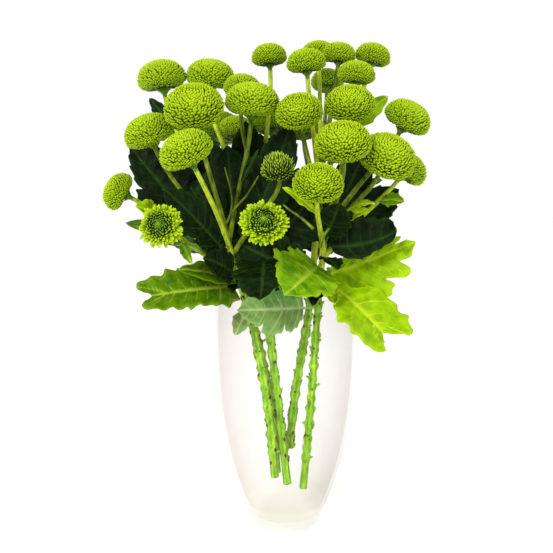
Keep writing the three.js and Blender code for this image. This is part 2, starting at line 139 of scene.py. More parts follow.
# Skins k tubes of m rings with n points each, given as an array (k, m, n, 3). Rings turn counterclockwise
# about the way the tube runs. A point at the middle of the first and of the last ring closes each end.
def tubeSkin(points, values):
    k, m, n, _ = points.shape
    ends = np.stack([points[:, 0].mean(1), points[:, -1].mean(1)], 1)
    vertices = np.concatenate([points.reshape(k, m * n, 3), ends], 1)
    start = np.arange(k)[:, None, None, None] * (m * n + 2)
    i, j = np.arange(m - 1)[:, None], np.arange(n)[None, :]
    right = (j + 1) % n
    quads = np.stack([i * n + j, i * n + right, (i + 1) * n + right, (i + 1) * n + j], -1)[None] + start
    j, right = np.arange(n), (np.arange(n) + 1) % n
    low = np.stack([np.full(n, m * n), right, j], -1)
    high = np.stack([np.full(n, m * n + 1), (m - 1) * n + j, (m - 1) * n + right], -1)
    tris = np.concatenate([low, high])[None] + start[:, 0]
    spread = {}
    for name, value in values.items():
        body = np.broadcast_to(value, (k, m, n))
        caps = np.stack([body[:, 0].mean(1), body[:, -1].mean(1)], 1)
        spread[name] = np.concatenate([body.reshape(k, m * n), caps], 1).ravel()
    return {
        "points": vertices.reshape(-1, 3),
        "quads": quads.reshape(-1, 4),
        "tris": tris.reshape(-1, 3),
        "values": spread,
    }


# Several skins as one. slots gives each its place in the piece's list of materials.
def joinSkins(skins, slots=None):
    counts = np.cumsum([0] + [len(s["points"]) for s in skins])
    names = sorted(set(name for s in skins for name in s["values"]))
    slots = slots or [0] * len(skins)
    blanks = [np.zeros(len(s["points"])) for s in skins]
    faces = [np.full(len(s[kind]), k) for kind in ("quads", "tris") for s, k in zip(skins, slots)]
    return {
        "points": np.concatenate([s["points"] for s in skins]),
        "quads": np.concatenate([s["quads"] + c for s, c in zip(skins, counts)]),
        "tris": np.concatenate([s["tris"] + c for s, c in zip(skins, counts)]),
        "values": {n: np.concatenate([s["values"].get(n, b) for s, b in zip(skins, blanks)]) for n in names},
        "slots": np.concatenate(faces),
    }


# A mesh object in metres from a skin in millimetres, riding on the model
def makePiece(name, skin, materials, replaced=()):
    quads, tris = skin["quads"], skin["tris"]
    mesh = bpy.data.meshes.new(name)
    mesh.vertices.add(len(skin["points"]))
    mesh.vertices.foreach_set("co", (skin["points"] * millimetre).astype(np.float32).ravel())
    mesh.loops.add(quads.size + tris.size)
    mesh.loops.foreach_set("vertex_index", np.concatenate([quads.ravel(), tris.ravel()]).astype(np.int32))
    starts = np.concatenate([np.arange(len(quads)) * 4, quads.size + np.arange(len(tris)) * 3])
    mesh.polygons.add(len(starts))
    mesh.polygons.foreach_set("loop_start", starts.astype(np.int32))
    if "slots" in skin:
        mesh.polygons.foreach_set("material_index", skin["slots"].astype(np.int32))
    mesh.polygons.foreach_set("use_smooth", np.ones(len(starts), bool))
    for key, value in skin["values"].items():
        mesh.attributes.new(key, "FLOAT", "POINT").data.foreach_set("value", value.astype(np.float32))
    mesh.update(calc_edges=True)
    mesh.validate()
    for material in materials:
        mesh.materials.append(material)
    piece = bpy.data.objects.new(name, mesh)
    bpy.context.scene.collection.objects.link(piece)
    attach(piece, "root")
    if replaced:
        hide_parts(*replaced)
    return piece


# Each main stem: marks along its middle, from the cut foot to the crown
stems = {
    "a": [(-9, -7, 42), (-15, -9, 105), (-30, -14, 187), (-47, -22, 246)],
    "b": [(-7, 9, 40), (-13, 8, 105), (-31, 6, 187), (-58, 6, 252)],
    "c": [(2, -5, 35), (-6, -2, 105), (-15, -4, 187), (-22, -10, 280)],
    "d": [(4, 12, 62), (9, 14, 110), (21, 15, 187), (31, 24, 300)],
    "e": [(16, -2, 30), (22, -6, 105), (27, -12, 187), (32, -22, 258)],
}

# Each bloom: stem, height of its fork, centre, radius, tilt from the vertical, turn
blooms = {
    "01": ("b", 246, (-107, 26, 389), 20.5, 10, 180),
    "02": ("c", 262, (-65, 32, 391), 20.5, 10, 300),
    "03": ("a", 236, (-72, -45, 357), 23, 36, 262),
    "04": ("c", 274, (-36, 14, 378), 16, 14, 60),
    "05": ("a", 246, (-27, -20, 364), 21.5, 12, 290),
    "06": ("b", 226, (-111, -25, 339), 20, 24, 215),
    "07": ("a", 240, (-75, -80, 322), 20, 30, 215),
    "08": ("c", 268, (-44, 42, 345), 16.5, 16, 100),
    "09": ("c", 280, (-14, 30, 407), 15, 5, 150),
    "10": ("e", 258, (10, -36, 354), 18.5, 36, 255),
    "11": ("c", 278, (-13, 52, 352), 16, 20, 100),
    "12": ("d", 288, (17, 4, 398), 16, 6, 200),
    "13": ("d", 297, (29, 46, 412), 15, 8, 120),
    "14": ("d", 295, (46, 20, 407), 14, 6, 0),
    "15": ("d", 289, (76, 28, 407), 15, 14, 10),
    "16": ("d", 280, (59, 2, 388), 15.5, 6, 0),
    "17": ("d", 292, (40, 80, 392), 15, 22, 80),
    "18": ("e", 250, (51, -26, 361), 20, 30, 262),
    "19": ("e", 244, (43, -58, 329), 21.5, 30, 258),
    "20": ("e", 250, (80, -42, 319), 23, 36, 300),
    "21": ("e", 232, (103, -4, 310), 17, 40, 10),
    "22": ("e", 254, (102, -4, 352), 19.5, 30, 335),
    "23": ("e", 242, (23, -85, 298), 18.5, 34, 272),
    "24": ("a", 236, (-7, -52, 311), 12.5, 34, 255),
    "25": ("c", 240, (-17, -90, 269), 18.5, 62, 270),
    "26": ("b", 204, (-94, -82, 266), 17.5, 76, 262),
    "27": ("b", 222, (-136, -30, 291), 15.5, 62, 190),
    "28": ("b", 250, (-88, 44, 346), 16.5, 24, 150),
    "29": ("d", 270, (16, 44, 346), 15, 20, 100),
    "30": ("b", 252, (-60, 80, 348), 20, 32, 105),
    "31": ("d", 262, (80, 62, 322), 20, 34, 45),
}
kinds = {name: "button" for name in blooms} | {"24": "young", "25": "open", "26": "open"}
headShape = {"button": (0.8, 0.44), "open": (0.45, 0.36), "young": (0.95, 0.5)}  # rise and drop, in radii
stemSize = {"foot": 3.5, "crown": 2.7, "stalkStart": 2.3, "stalkEnd": 1.8}
# Green cup under a bloom, in the bloom's radii: depth and width, rings in
# shares of those, scales in a row, how far out and down each row starts in
# shares of those, and a scale's length, half width, half thickness and cupping
calyx = {
    "depth": 0.24,
    "width": 0.29,
    "rings": [(-1.25, 0.2), (-1.0, 0.22), (-0.7, 0.34), (-0.4, 0.52), (-0.12, 0.74), (0.1, 0.86), (0.5, 0.8)],
    "scales": 13,
    "upperRow": (0.54, 0.3),
    "lowerRow": (0.36, 0.6),
    "scaleSize": (0.24, 0.075, 0.018, -0.02),
}
# How steeply a stalk leaves its fork, and how long it holds
# its first and its last direction, in shares of its reach
stalkShape = {"lift": 0.45, "leave": 0.3, "arrive": 0.24}
pathPoints = {"stem": 161, "stalk": 61, "fine": 600}


# Points evenly spaced along a centripetal Catmull-Rom curve: on each span a cubic runs
# from mark to mark, and its slopes weigh the chords by the square roots of their lengths
def smoothPath(marks, count):
    p = np.array(marks, float)
    p = np.concatenate([[2 * p[0] - p[1]], p, [2 * p[-1] - p[-2]]])
    gap = np.sqrt(np.linalg.norm(np.diff(p, axis=0), axis=1))[:, None]
    spans = len(marks) - 1
    u = np.linspace(0, spans, pathPoints["fine"])
    s = np.minimum(u.astype(int), spans - 1)
    t = (u - s)[:, None]
    p0, p1, p2, p3 = (p[s + i] for i in range(4))
    g0, g1, g2 = (gap[s + i] for i in range(3))
    slope1 = ((p1 - p0) / g0 - (p2 - p0) / (g0 + g1) + (p2 - p1) / g1) * g1
    slope2 = ((p2 - p1) / g1 - (p3 - p1) / (g1 + g2) + (p3 - p2) / g2) * g1
    cubic = p1 + slope1 * t + (3 * (p2 - p1) - 2 * slope1 - slope2) * t**2
    return evenly(cubic + (2 * (p1 - p2) + slope1 + slope2) * t**3, count)


# The same line with its points evenly spaced
def evenly(path, count):
    far = distances(path)
    place = np.linspace(0, far[-1], count)
    return np.stack([np.interp(place, far, path[:, i]) for i in range(3)], 1)


# Point, direction and radius of a main stem at a height
def stemAt(letter, height):
    path = stemPaths[letter]
    i = np.interp(height, path[:, 2], np.arange(len(path)))
    along = unit(np.gradient(path, axis=0))[int(round(i))]
    radius = stemSize["foot"] + (stemSize["crown"] - stemSize["foot"]) * i / (len(path) - 1)
    return pointAt(path, i), along, radius


stemPaths = {letter: smoothPath(marks, pathPoints["stem"]) for letter, marks in stems.items()}


# A bloom's seat and axis, and its stalk: a cubic Bezier curve
# that leaves the fork leaning up and ends along the axis
def stalkOf(name):
    letter, fork, centre, radius, tilt, turn = blooms[name]
    axis = heading(turn, 90 - tilt)
    seat = np.array(centre) - axis * radius * sum(headShape[kinds[name]]) / 2
    start = stemAt(letter, fork)[0]
    end = seat - axis * calyx["depth"] * radius
    reach = np.linalg.norm(end - start)
    rising = unit(unit(end - start) + np.array([0, 0, stalkShape["lift"]]))
    leave = start + rising * reach * stalkShape["leave"]
    arrive = end - axis * reach * stalkShape["arrive"]
    t = np.linspace(0, 1, 90)[:, None]
    curve = (1 - t) ** 3 * start + 3 * (1 - t) ** 2 * t * leave + 3 * (1 - t) * t**2 * arrive + t**3 * end
    return {"path": evenly(curve, pathPoints["stalk"]), "seat": seat, "axis": axis, "radius": radius}


stalks = {name: stalkOf(name) for name in blooms}
print("curves laid")


# Soft, matt ray florets: dark green at the foot, yellow-green at the
# rounded tip. The dark foot is partly their own green and partly painted shade deep
# between them, and a per-floret value paints light and shade: lighter on the crown,
# darker down the sides. The colour wanders in patches of 11 mm. The grain of 0.7 mm
# is coarser than real cells, so that it shows.
def floretMaterial(name, stops):
    material, add, place = newMaterial(name)
    along = add("Attribute", {"attribute_name": "along"})
    tone = add("Attribute", {"attribute_name": "tone"})
    patch = add("TexNoise", {"Scale": 90.0, "Detail": 2.0}, {"Vector": place})
    shift = add("Math", {"operation": "MULTIPLY_ADD", 1: 0.22, 2: -0.11}, {0: patch})
    tint = add("Math", {"operation": "ADD"}, {0: along.outputs["Fac"], 1: shift})
    # Adds the per-floret value: a little random tone, with painted light on the crown and painted shade down
    # the sides
    tinted = add("Math", {"operation": "ADD"}, {0: tint, 1: tone.outputs["Fac"]})
    ramp = add("ValToRGB", {"stops": stops}, {0: tinted})
    grain = add("TexNoise", {"Scale": 1400.0, "Detail": 3.0}, {"Vector": place})
    bump = add("Bump", {"Strength": 0.25, "Distance": 0.0002}, {"Height": grain})
    closeMaterial(
        add,
        {"Roughness": 0.6, "IOR": 1.4, "Specular IOR Level": 0.2},
        {"Base Color": ramp, "Normal": bump},
    )
    return material


# Waxy leaf blade: green mottled in patches of 9 mm between pale sunken veins, lighter
# at the toothed margin, netted by fine veins 1.6 mm apart, satin from its wax
def leafMaterial(name, deep, body, margin, vein, roughness):
    material, add, place = newMaterial(name)
    veinMark = add("Attribute", {"attribute_name": "vein"})
    edgeMark = add("Attribute", {"attribute_name": "edge"})
    mottle = add("TexNoise", {"Scale": 110.0, "Detail": 5.0, "Roughness": 0.6}, {"Vector": place})
    ground = add("ValToRGB", {"stops": [(0.34, deep), (0.62, body)]}, {0: mottle})
    nearEdge = {"From Min": 0.72, "From Max": 1.0, "To Max": 0.7}
    rim = add("MapRange", nearEdge, {"Value": edgeMark.outputs["Fac"]})
    toMargin = {"data_type": "RGBA", 7: linear(margin)}
    rimmed = add("Mix", toMargin, {0: rim, 6: ground})
    mostly = {"operation": "MULTIPLY", 1: 0.85, "use_clamp": True}
    pale = add("Math", mostly, {0: veinMark.outputs["Fac"]})
    toVein = {"data_type": "RGBA", 7: linear(vein)}
    veined = add("Mix", toVein, {0: pale, 6: rimmed.outputs[2]})
    cells = add("TexVoronoi", {"Scale": 620.0}, {"Vector": place})
    net = add("Bump", {"Strength": 0.35, "Distance": 0.0003}, {"Height": cells.outputs["Distance"]})
    closeMaterial(
        add,
        {"Roughness": roughness, "IOR": 1.45, "Specular IOR Level": 0.08},
        {"Base Color": veined.outputs[2], "Normal": net},
    )
    return material


# Green stem rind: streaks 2.4 mm wide run lengthways, blotches of 8 mm are
# bruised olive, and below the rim, where it stays wet, it is a fresher green
def stemMaterial(name, dry, wet):
    material, add, place = newMaterial(name)
    ribMark = add("Attribute", {"attribute_name": "rib"})
    stretched = add("Mapping", {"Scale": (1.0, 1.0, 0.16)}, {"Vector": place})
    streak = add("TexNoise", {"Scale": 420.0, "Detail": 4.0}, {"Vector": stretched})
    blotch = add("TexNoise", {"Scale": 130.0, "Detail": 3.0}, {"Vector": place})
    mixed = add("Math", {"operation": "ADD"}, {0: streak, 1: blotch})
    blend = add("Math", {"operation": "MULTIPLY", 1: 0.5}, {0: mixed})
    ribShare = {"operation": "MULTIPLY_ADD", 1: 0.07}
    ribbed = add("Math", ribShare, {0: ribMark.outputs["Fac"], 2: blend})
    above = add("ValToRGB", {"stops": list(zip((0.34, 0.5, 0.7), dry))}, {0: ribbed})
    below = add("ValToRGB", {"stops": list(zip((0.32, 0.5, 0.66), wet))}, {0: ribbed})
    parts = add("SeparateXYZ", None, {0: place})
    height = add("MapRange", {"From Min": 0.19, "From Max": 0.215}, {"Value": parts.outputs["Z"]})
    ends = {0: height, 6: below, 7: above}
    rind = add("Mix", {"data_type": "RGBA"}, ends)
    bump = add("Bump", {"Strength": 0.3, "Distance": 0.0004}, {"Height": streak})
    closeMaterial(
        add,
        {"Roughness": 0.5, "IOR": 1.45, "Specular IOR Level": 0.15},
        {"Base Color": rind.outputs[2], "Normal": bump},
    )
    return material


# Clear and slightly clouded: it is less see-through in some places than in others
def cloudedMaterial(name, cloud, alpha, settings):
    material, add, place = newMaterial(name)
    swirl = add("TexNoise", cloud, {"Vector": place})
    solidity = add("MapRange", {"To Min": alpha[0], "To Max": alpha[1]}, {"Value": swirl})
    closeMaterial(add, settings, {"Alpha": solidity})
    return material


# Foot to tip: the dark foot is partly the florets' own green and partly painted shade deep between them
floretStops = [(0.06, "#3a5a04"), (0.36, "#668a08"), (0.66, "#86a40a"), (0.98, "#a0ba0c")]
youngStops = [(0.06, "#182e06"), (0.34, "#38580c"), (0.6, "#6c9018"), (0.84, "#b0c838")]
florets = floretMaterial("rayFlorets", floretStops)
youngFlorets = floretMaterial("unopenedFlorets", youngStops)
freshStem = ("#44780a", "#74b01a", "#a4d43c")
stemRind = stemMaterial("stemRind", ("#6e8410", "#a2b624", "#c0cc40"), freshStem)
# Darker olive copy of the stem rind: painted shade, for the stalks in shade behind the front blooms; the side
# twigs wear it too
shadedRind = stemMaterial("shadedOliveStemRind", ("#2e4008", "#5a6e12", "#869628"), freshStem)
calyxGreen = stemMaterial("calyxGreen", ("#28400a", "#4c6c12", "#7c9828"), freshStem)
scarPith = stemMaterial("cutPith", ("#a9b16a", "#d2d7a0", "#eeeccb"), ("#b0c86c", "#d6e4a4", "#eef2cc"))
barkScar = stemMaterial("driedLeafScar", ("#241c0c", "#3a3014", "#5a5020"), ("#101c04", "#1c3208", "#3c5a18"))
# Leaf faces and backs by tone: deep green, body, margin, vein, roughness
leafTones = {
    "fresh": leafMaterial("freshLeafBlade", "#305602", "#527602", "#6c8c06", "#a2bc38", 0.45),
    "bright": leafMaterial("brightLeafBlade", "#6c9200", "#8cb202", "#9cc006", "#bcd428", 0.45),
    "mid": leafMaterial("greenLeafBlade", "#447004", "#6c9806", "#86a60c", "#a8c634", 0.45),
    # dark is painted shade: a shaded copy of the leaf, for leaves deep in the bouquet
    "dark": leafMaterial("darkLeafBlade", "#050e02", "#0e2205", "#183207", "#2c4814", 0.52),
    "pale": leafMaterial("paleLeafBlade", "#4a7c30", "#6c9c4a", "#86b062", "#b6d094", 0.5),
}
leafBacks = {
    "fresh": leafMaterial("freshLeafBack", "#5c7c14", "#7c9a20", "#94ac2c", "#b4c860", 0.6),
    "bright": leafMaterial("brightLeafBack", "#8cac14", "#b0cc26", "#bcd438", "#dbe67c", 0.6),
    "mid": leafMaterial("greenLeafBack", "#4a6c16", "#6c8c24", "#88a030", "#a8c060", 0.6),
    # The back of the shaded copy, also painted shade
    "dark": leafMaterial("darkLeafBack", "#1a3010", "#2c4818", "#405c26", "#688448", 0.6),
    "pale": leafMaterial("paleLeafBack", "#5a8a42", "#7ca862", "#8eb474", "#bcd29c", 0.6),
}

# Clear soda-lime glass, blown and fire polished: see-through,
# faintly milky and warm, denser where it is seen edge on
glass, add, place = newMaterial("clearSodaGlass")
swirl = add("TexNoise", {"Scale": 14.0, "Detail": 2.0}, {"Vector": place})  # ripples 70 mm long
ripple = add("Bump", {"Strength": 0.04, "Distance": 0.002}, {"Height": swirl})
facing = add("LayerWeight", {"Blend": 0.32})
solidity = add("MapRange", {"To Min": 0.05, "To Max": 0.22}, {"Value": facing.outputs["Facing"]})
closeMaterial(
    add,
    {"Base Color": linear("#977957"), "Roughness": 0.04, "IOR": 1.5, "Specular IOR Level": 0.15},
    {"Alpha": solidity, "Normal": ripple},
)
# The same glass where it is thick, in the base: it gathers light, so it looks creamy and not grey
thickGlass = cloudedMaterial(
    "thickSodaGlass",
    {"Scale": 20.0, "Detail": 2.0},
    (0.06, 0.1),
    {"Base Color": linear("#cfc9a4"), "Roughness": 0.1, "IOR": 1.5, "Specular IOR Level": 0.3},
)
# Still vase water, slightly clouded by sap: see-through with a yellowish cast
water = cloudedMaterial(
    "vaseWater",
    {"Scale": 30.0, "Detail": 3.0},
    (0.008, 0.02),
    {"Base Color": linear("#b4b08e"), "Roughness": 0.03, "IOR": 1.33},
)
print("materials made")

# side gives the outline's marks in shares of the belly's radius and of the height; water is the water's level
vase = {
    "height": 205, "belly": 61, "foot": 28, "wall": 3, "base": 9,
    "water": 74, "climb": 0.6, "clear": 0.3,
    "turns": 160, "linePoints": 60,
    "side": [(0.607, 0.1), (0.76, 0.23), (0.88, 0.38), (0.965, 0.56), (1, 0.78), (0.993, 1)],
}


# Skin of a shape turned about +Z, from a profile of radius
# and height: each point of it becomes a ring, in order
def turnedSkin(profile, turns):
    angle = evenTurns(turns)
    r, z = np.array(profile, float).T[:, :, None]
    rings = np.stack([r * np.cos(angle), r * np.sin(angle), np.broadcast_to(z, (len(r), turns))], -1)
    return tubeSkin(rings[None], {})


# Smooth side line through the marks, from the foot up, moved in by the inset
def vaseLine(inset):
    marks = [(vase["foot"] + 2 - inset, 3, 0)]
    marks += [(r * vase["belly"] - inset, h * vase["height"], 0) for r, h in vase["side"]]
    return smoothPath(marks, vase["linePoints"])[:, :2]


foot, base, halfWall = vase["foot"], vase["base"], vase["wall"] / 2
outside = vaseLine(0)
inside = vaseLine(vase["wall"])
inside = inside[inside[:, 1] > base + 4]
lip = np.linspace(0, math.pi, 9)[1:-1]  # half round of the fire-polished rim
rimMiddle = (outside[-1] + inside[-1]) / 2
rimRound = rimMiddle - [0, halfWall] + halfWall * np.stack([np.cos(lip), np.sin(lip)], 1)
outside = outside[outside[:, 1] < vase["height"] - halfWall]
inside = inside[inside[:, 1] < vase["height"] - halfWall]
heel = [(0.5, 0), (foot - 3, 0), (foot - 0.8, 0.35), (foot + 0.9, 1.4)]
floorInside = [(inside[0, 0] - 1.5, base + 1.6), (inside[0, 0] - 5, base + 0.4), (10, base), (0.5, base)]
vaseProfile = heel + [tuple(p) for line in (outside, rimRound, inside[::-1]) for p in line] + floorInside
vaseSkin = turnedSkin(vaseProfile, vase["turns"])
rings = np.arange(len(vaseProfile) - 1)
inBase = (rings < len(heel) - 1) | (rings >= len(vaseProfile) - len(floorInside) - 2)
baseFaces = [np.repeat(inBase, vase["turns"]), np.ones(len(vaseSkin["tris"]), bool)]
vaseSkin["slots"] = np.concatenate(baseFaces).astype(int)
makePiece("glassVase", vaseSkin, [glass, thickGlass], ["vase"])

# Water: it follows the inside of the glass just clear of it, and climbs at the wall. The stems stand in it.
level, low = vase["water"], vase["water"] - vase["climb"]
wet = inside[inside[:, 1] < level] - [vase["clear"], 0]
edge = np.interp(level, inside[:, 1], inside[:, 0]) - vase["clear"]
waterProfile = [(0.5, base + 0.3), (wet[0, 0] - 4, base + 0.7), (wet[0, 0] - 1.2, base + 2.2)]
waterProfile += [tuple(p) for p in wet]
waterProfile += [(edge, level), (edge - 0.5, level - 0.35), (edge - 1.6, low), (edge * 0.5, low), (0.5, low)]
makePiece("vaseWater", turnedSkin(waterProfile, 96), [water], ["water"])
print("vase and water made")


# Axes square to a path: across is a fixed direction laid square to it, and side completes the frame
def pathAxes(path):
    along = unit(np.gradient(path, axis=0))
    reach = path[-1] - path[0]
    aside = np.cross(reach, np.eye(3)[np.argmin(np.abs(reach))])
    across = unit(aside - (along @ aside)[:, None] * along)
    return along, across, np.cross(along, across)


# Rind of a tube: how far and how slowly its ribs wander round it, and how long the swelling at a knot is
rindShape = {"wander": 0.4, "wanderLength": 17, "knotLength": 2.4}


# Ribbed tube along a path: radius x (1 + depth x cos(ribs x angle)), plus
# rings of swelling at the knots, which are given as distances along the path
def ribbedTube(path, radii, sides, ribs, depth, knots=(), swell=0.5):
    along, across, side = pathAxes(path)
    angle = evenTurns(sides)
    far = distances(path)
    bulge = np.zeros(len(far))
    for knot in knots:
        bulge += swell * np.exp(-(((far - knot) / rindShape["knotLength"]) ** 2))
    wave = np.cos(ribs * angle + rindShape["wander"] * np.sin(far / rindShape["wanderLength"])[:, None])
    r = (radii + bulge)[:, None] * (1 + depth * wave)
    points = path[:, None] + r[..., None] * around(angle, across[:, None], side[:, None])
    return tubeSkin(points[None], {"rib": wave[None]})


# Places along a strap, and its half width at each: a spoon
# is widest near its rounded tip, a point near its foot
strapOutlines = {
    "spoon": ([0, 0.3, 0.58, 0.8, 0.94, 1.0], [0.5, 0.72, 1.0, 0.98, 0.66, 0.2]),
    "point": ([0, 0.3, 0.6, 0.84, 1.0], [0.8, 1.0, 0.86, 0.5, 0.08]),
}


# Tapered straps along arcs, many at once. Each leaves along out, bends towards lean, and its rounded
# section is cupped towards lean. width, cup and thick are half sizes, bends are the first angle and
# the turn of the arc, and u runs from 0 at the foot to 1 at the tip. A size may be one number for all.
def strapSkin(foot, out, lean, length, width, thick, cup, bends, outline, values, sides=6):
    u, wide = np.array(strapOutlines[outline])
    sizes = (length, width, thick, cup, *bends)
    length, width, thick, cup, start, turn = (np.broadcast_to(size, len(foot)) for size in sizes)
    angle = start[:, None] + turn[:, None] * u
    safe = np.where(np.abs(turn) < 1e-3, 1e-3, turn)[:, None]
    far = (np.sin(start[:, None] + safe * u) - np.sin(start)[:, None]) / safe
    near = (np.cos(start)[:, None] - np.cos(start[:, None] + safe * u)) / safe
    arc = far[..., None] * out[:, None] + near[..., None] * lean[:, None]
    line = foot[:, None] + length[:, None, None] * arc
    up = -np.sin(angle)[..., None] * out[:, None] + np.cos(angle)[..., None] * lean[:, None]
    section = evenTurns(sides)
    x = np.cos(section)[None, None] * wide[None, :, None] * width[:, None, None]
    y = np.sin(section)[None, None] * (0.35 + 0.65 * wide[None, :, None]) * thick[:, None, None]
    y = y + cup[:, None, None] * wide[None, :, None] * np.cos(section)[None, None] ** 2
    across = np.cross(out, lean)
    points = line[:, :, None] + x[..., None] * across[:, None, None] + y[..., None] * up[:, :, None]
    spread = {"along": np.broadcast_to(u[None, :, None], x.shape)}
    spread.update({name: np.broadcast_to(value[:, None, None], x.shape) for name, value in values.items()})
    return tubeSkin(points[:, :, ::-1], {name: value[:, :, ::-1] for name, value in spread.items()})


# Green cup under a bloom, with two rows of pointed scales pressed against it, half a step apart
def calyxSkins(stalk, random):
    seat, axis, radius = stalk["seat"], stalk["axis"], stalk["radius"]
    first, second = squareTo(axis)
    depth, width = calyx["depth"] * radius, calyx["width"] * radius
    shares = np.array(calyx["rings"])
    spread = np.maximum(shares[:, 1:] * width, stemSize["stalkEnd"])[:, None]
    rim = around(evenTurns(20), first, second)
    rings = seat + axis * (shares[:, :1] * depth)[:, None] + rim[None] * spread
    cup = tubeSkin(rings[None], {"rib": 0.0})
    row = calyx["scales"]
    count = 2 * row
    upper = np.arange(count) >= row
    turn = np.arange(count) * 2 * math.pi / row + upper * 0.24 + random.uniform(-0.08, 0.08, count)
    outwards = around(turn, first, second)
    out, down = np.where(upper[:, None], calyx["upperRow"], calyx["lowerRow"]).T
    scales = strapSkin(
        seat + outwards * (width * out)[:, None] - axis * (depth * down)[:, None],
        unit(outwards * 0.55 + axis * 0.8),
        unit(outwards * 0.8 - axis * 0.55),
        *(size * radius for size in calyx["scaleSize"]),
        (-0.1, 0.7),
        "point",
        {"rib": random.uniform(-0.5, 1.2, count)},
    )
    return cup, scales


# Broken leaf stubs and dried leaf scars on the bare part of a main stem. A stub starts sunk
# in the rind, and a scar is lifted off the stem's plain radius. Scars reach beyond the stubs.
stubs = {"count": 19, "from": 62, "to": 196, "turn": 137.5, "long": (1.4, 4.6), "wide": 1.35, "sunk": 0.8}
scarCounts = {"a": 60, "b": 50, "c": 60, "d": 34, "e": 26}
scars = {"beyond": 8, "length": (1.2, 3.6), "lift": 0.5}


# Places on a main stem's middle, its direction and radius
# there, and the way out to the rind, at heights and turns
def rindSpots(letter, heights, turns):
    place, along, reach = (np.array(part) for part in zip(*(stemAt(letter, h) for h in heights)))
    side = heading(turns, np.zeros(len(turns)))
    return place, along, reach[:, None], unit(side - (side * along).sum(1)[:, None] * along)


# Stubs are short straps that stand out and up from the rind
def stubSkin(letter, random):
    count = stubs["count"]
    heights = np.linspace(stubs["from"], stubs["to"], count) + random.uniform(-5, 5, count)
    turns = np.arange(count) * stubs["turn"] + random.uniform(-25, 25, count)
    place, along, reach, side = rindSpots(letter, heights, turns)
    length = random.uniform(*stubs["long"], count)
    return heights, strapSkin(
        place + side * (reach - stubs["sunk"]),
        side,
        along,
        length + stubs["sunk"],
        random.uniform(0.7, 1.3, count) * stubs["wide"],
        random.uniform(0.7, 1.1, count),
        random.uniform(0.1, 0.5, count),
        (random.uniform(0.1, 0.6, count), random.uniform(0.3, 1.0, count)),
        "spoon",
        {"rib": random.uniform(-1, 1, count)},
        8,
    )


# Scars are small raised pads, longer along the stem than across it
def scarSkin(letter, random):
    count = scarCounts[letter]
    heights = random.uniform(stubs["from"] - scars["beyond"], stubs["to"] + scars["beyond"], count)
    place, along, reach, side = rindSpots(letter, heights, random.uniform(0, 360, count))
    long = random.uniform(*scars["length"], count)
    return strapSkin(
        place + side * (reach + scars["lift"]) - along * long[:, None] / 2,
        along,
        side,
        long,
        random.uniform(0.6, 1.3, count),
        random.uniform(0.4, 0.7, count),
        0.0,
        (0.35, -0.7),
        "spoon",
        {"rib": random.uniform(-1, 1, count)},
        8,
    )


pithRings = np.array([(-0.2, 0.7), (0.12, 0.72), (0.22, 0.5), (0.26, 0.1)])  # height, radius, in stem radii


# Cut end of a stem: a low pale dome of pith inside the rind
def pithSkin(at, axis, radius):
    rim = around(evenTurns(16), *squareTo(axis))
    heights, reach = (pithRings * radius).T[:, :, None, None]
    return tubeSkin((at + axis * heights + rim[None] * reach)[None], {"rib": 0.0})


# Thin side twigs of olive rind: stem, points from the root to the end, radius
twigs = [
    ("e", [(21, -62, 262), (12, -60, 270), (3, -54, 276), (-2, -50, 280)], 1.0),
    ("e", [(27, -40, 246), (29, -43, 254), (34, -45, 262)], 1.3),
    ("b", [(-56, 4, 250), (-64, -14, 252), (-73, -25, 254), (-89, -30, 263)], 1.0),
    ("a", [(-50, -22, 262), (-42, -26, 276), (-32, -26, 287), (-22, -22, 303)], 0.9),
    ("a", [(-46, -21, 268), (-44, -21, 284), (-50, -16, 310)], 0.8),
]
# Stalks in shade behind the front blooms: they wear the darker olive rind, which is painted shade
shadedStalks = "03 04 05 06 08 10 11 14 16 17 18 19 20 22 24 28 29 30 31".split()
tubeShapes = {"stem": (24, 6, 0.03), "stalk": (14, 5, 0.035), "twig": (10, 4, 0.05)}  # sides, ribs, depth
stemLooks = [stemRind, calyxGreen, shadedRind, barkScar, scarPith]
looksAt = {"fresh": 0, "calyx": 1, "olive": 2, "scar": 3, "pith": 4}  # places in the list above
for order, (letter, path) in enumerate(stemPaths.items()):
    random = np.random.default_rng(40 + order)
    radii = np.linspace(stemSize["foot"], stemSize["crown"], len(path))
    heights, stubSkins = stubSkin(letter, random)
    knots = np.interp(heights, path[:, 2], np.linspace(0, distances(path)[-1], len(path)))
    skins = [ribbedTube(path, radii, *tubeShapes["stem"], knots, 0.95), stubSkins, scarSkin(letter, random)]
    skins.append(pithSkin(path[0], unit(path[0] - path[1]), stemSize["foot"]))
    skins.append(pithSkin(path[-1], unit(path[-1] - path[-2]), stemSize["crown"]))
    slots = [looksAt[look] for look in ("fresh", "fresh", "scar", "pith", "pith")]
    for host, marks, thin in twigs:
        if host == letter:
            taper = thin * np.linspace(1.25, 0.75, 30)
            skins.append(ribbedTube(smoothPath(marks, 30), taper, *tubeShapes["twig"]))
            slots.append(looksAt["olive"])
    for name, stalk in stalks.items():
        if blooms[name][0] != letter:
            continue
        thin = np.linspace(stemSize["stalkStart"], stemSize["stalkEnd"], pathPoints["stalk"])
        skins.append(ribbedTube(stalk["path"], thin, *tubeShapes["stalk"], (0.5, 22), 0.35))
        slots.append(looksAt["olive" if name in shadedStalks else "fresh"])
        skins += calyxSkins(stalk, random)
        slots += [looksAt["calyx"]] * 2
    makePiece("flowerStem_" + letter, joinSkins(skins, slots), stemLooks, ["stem_" + letter])
print("stems made")

goldenAngle = math.pi * (3 - math.sqrt(5))
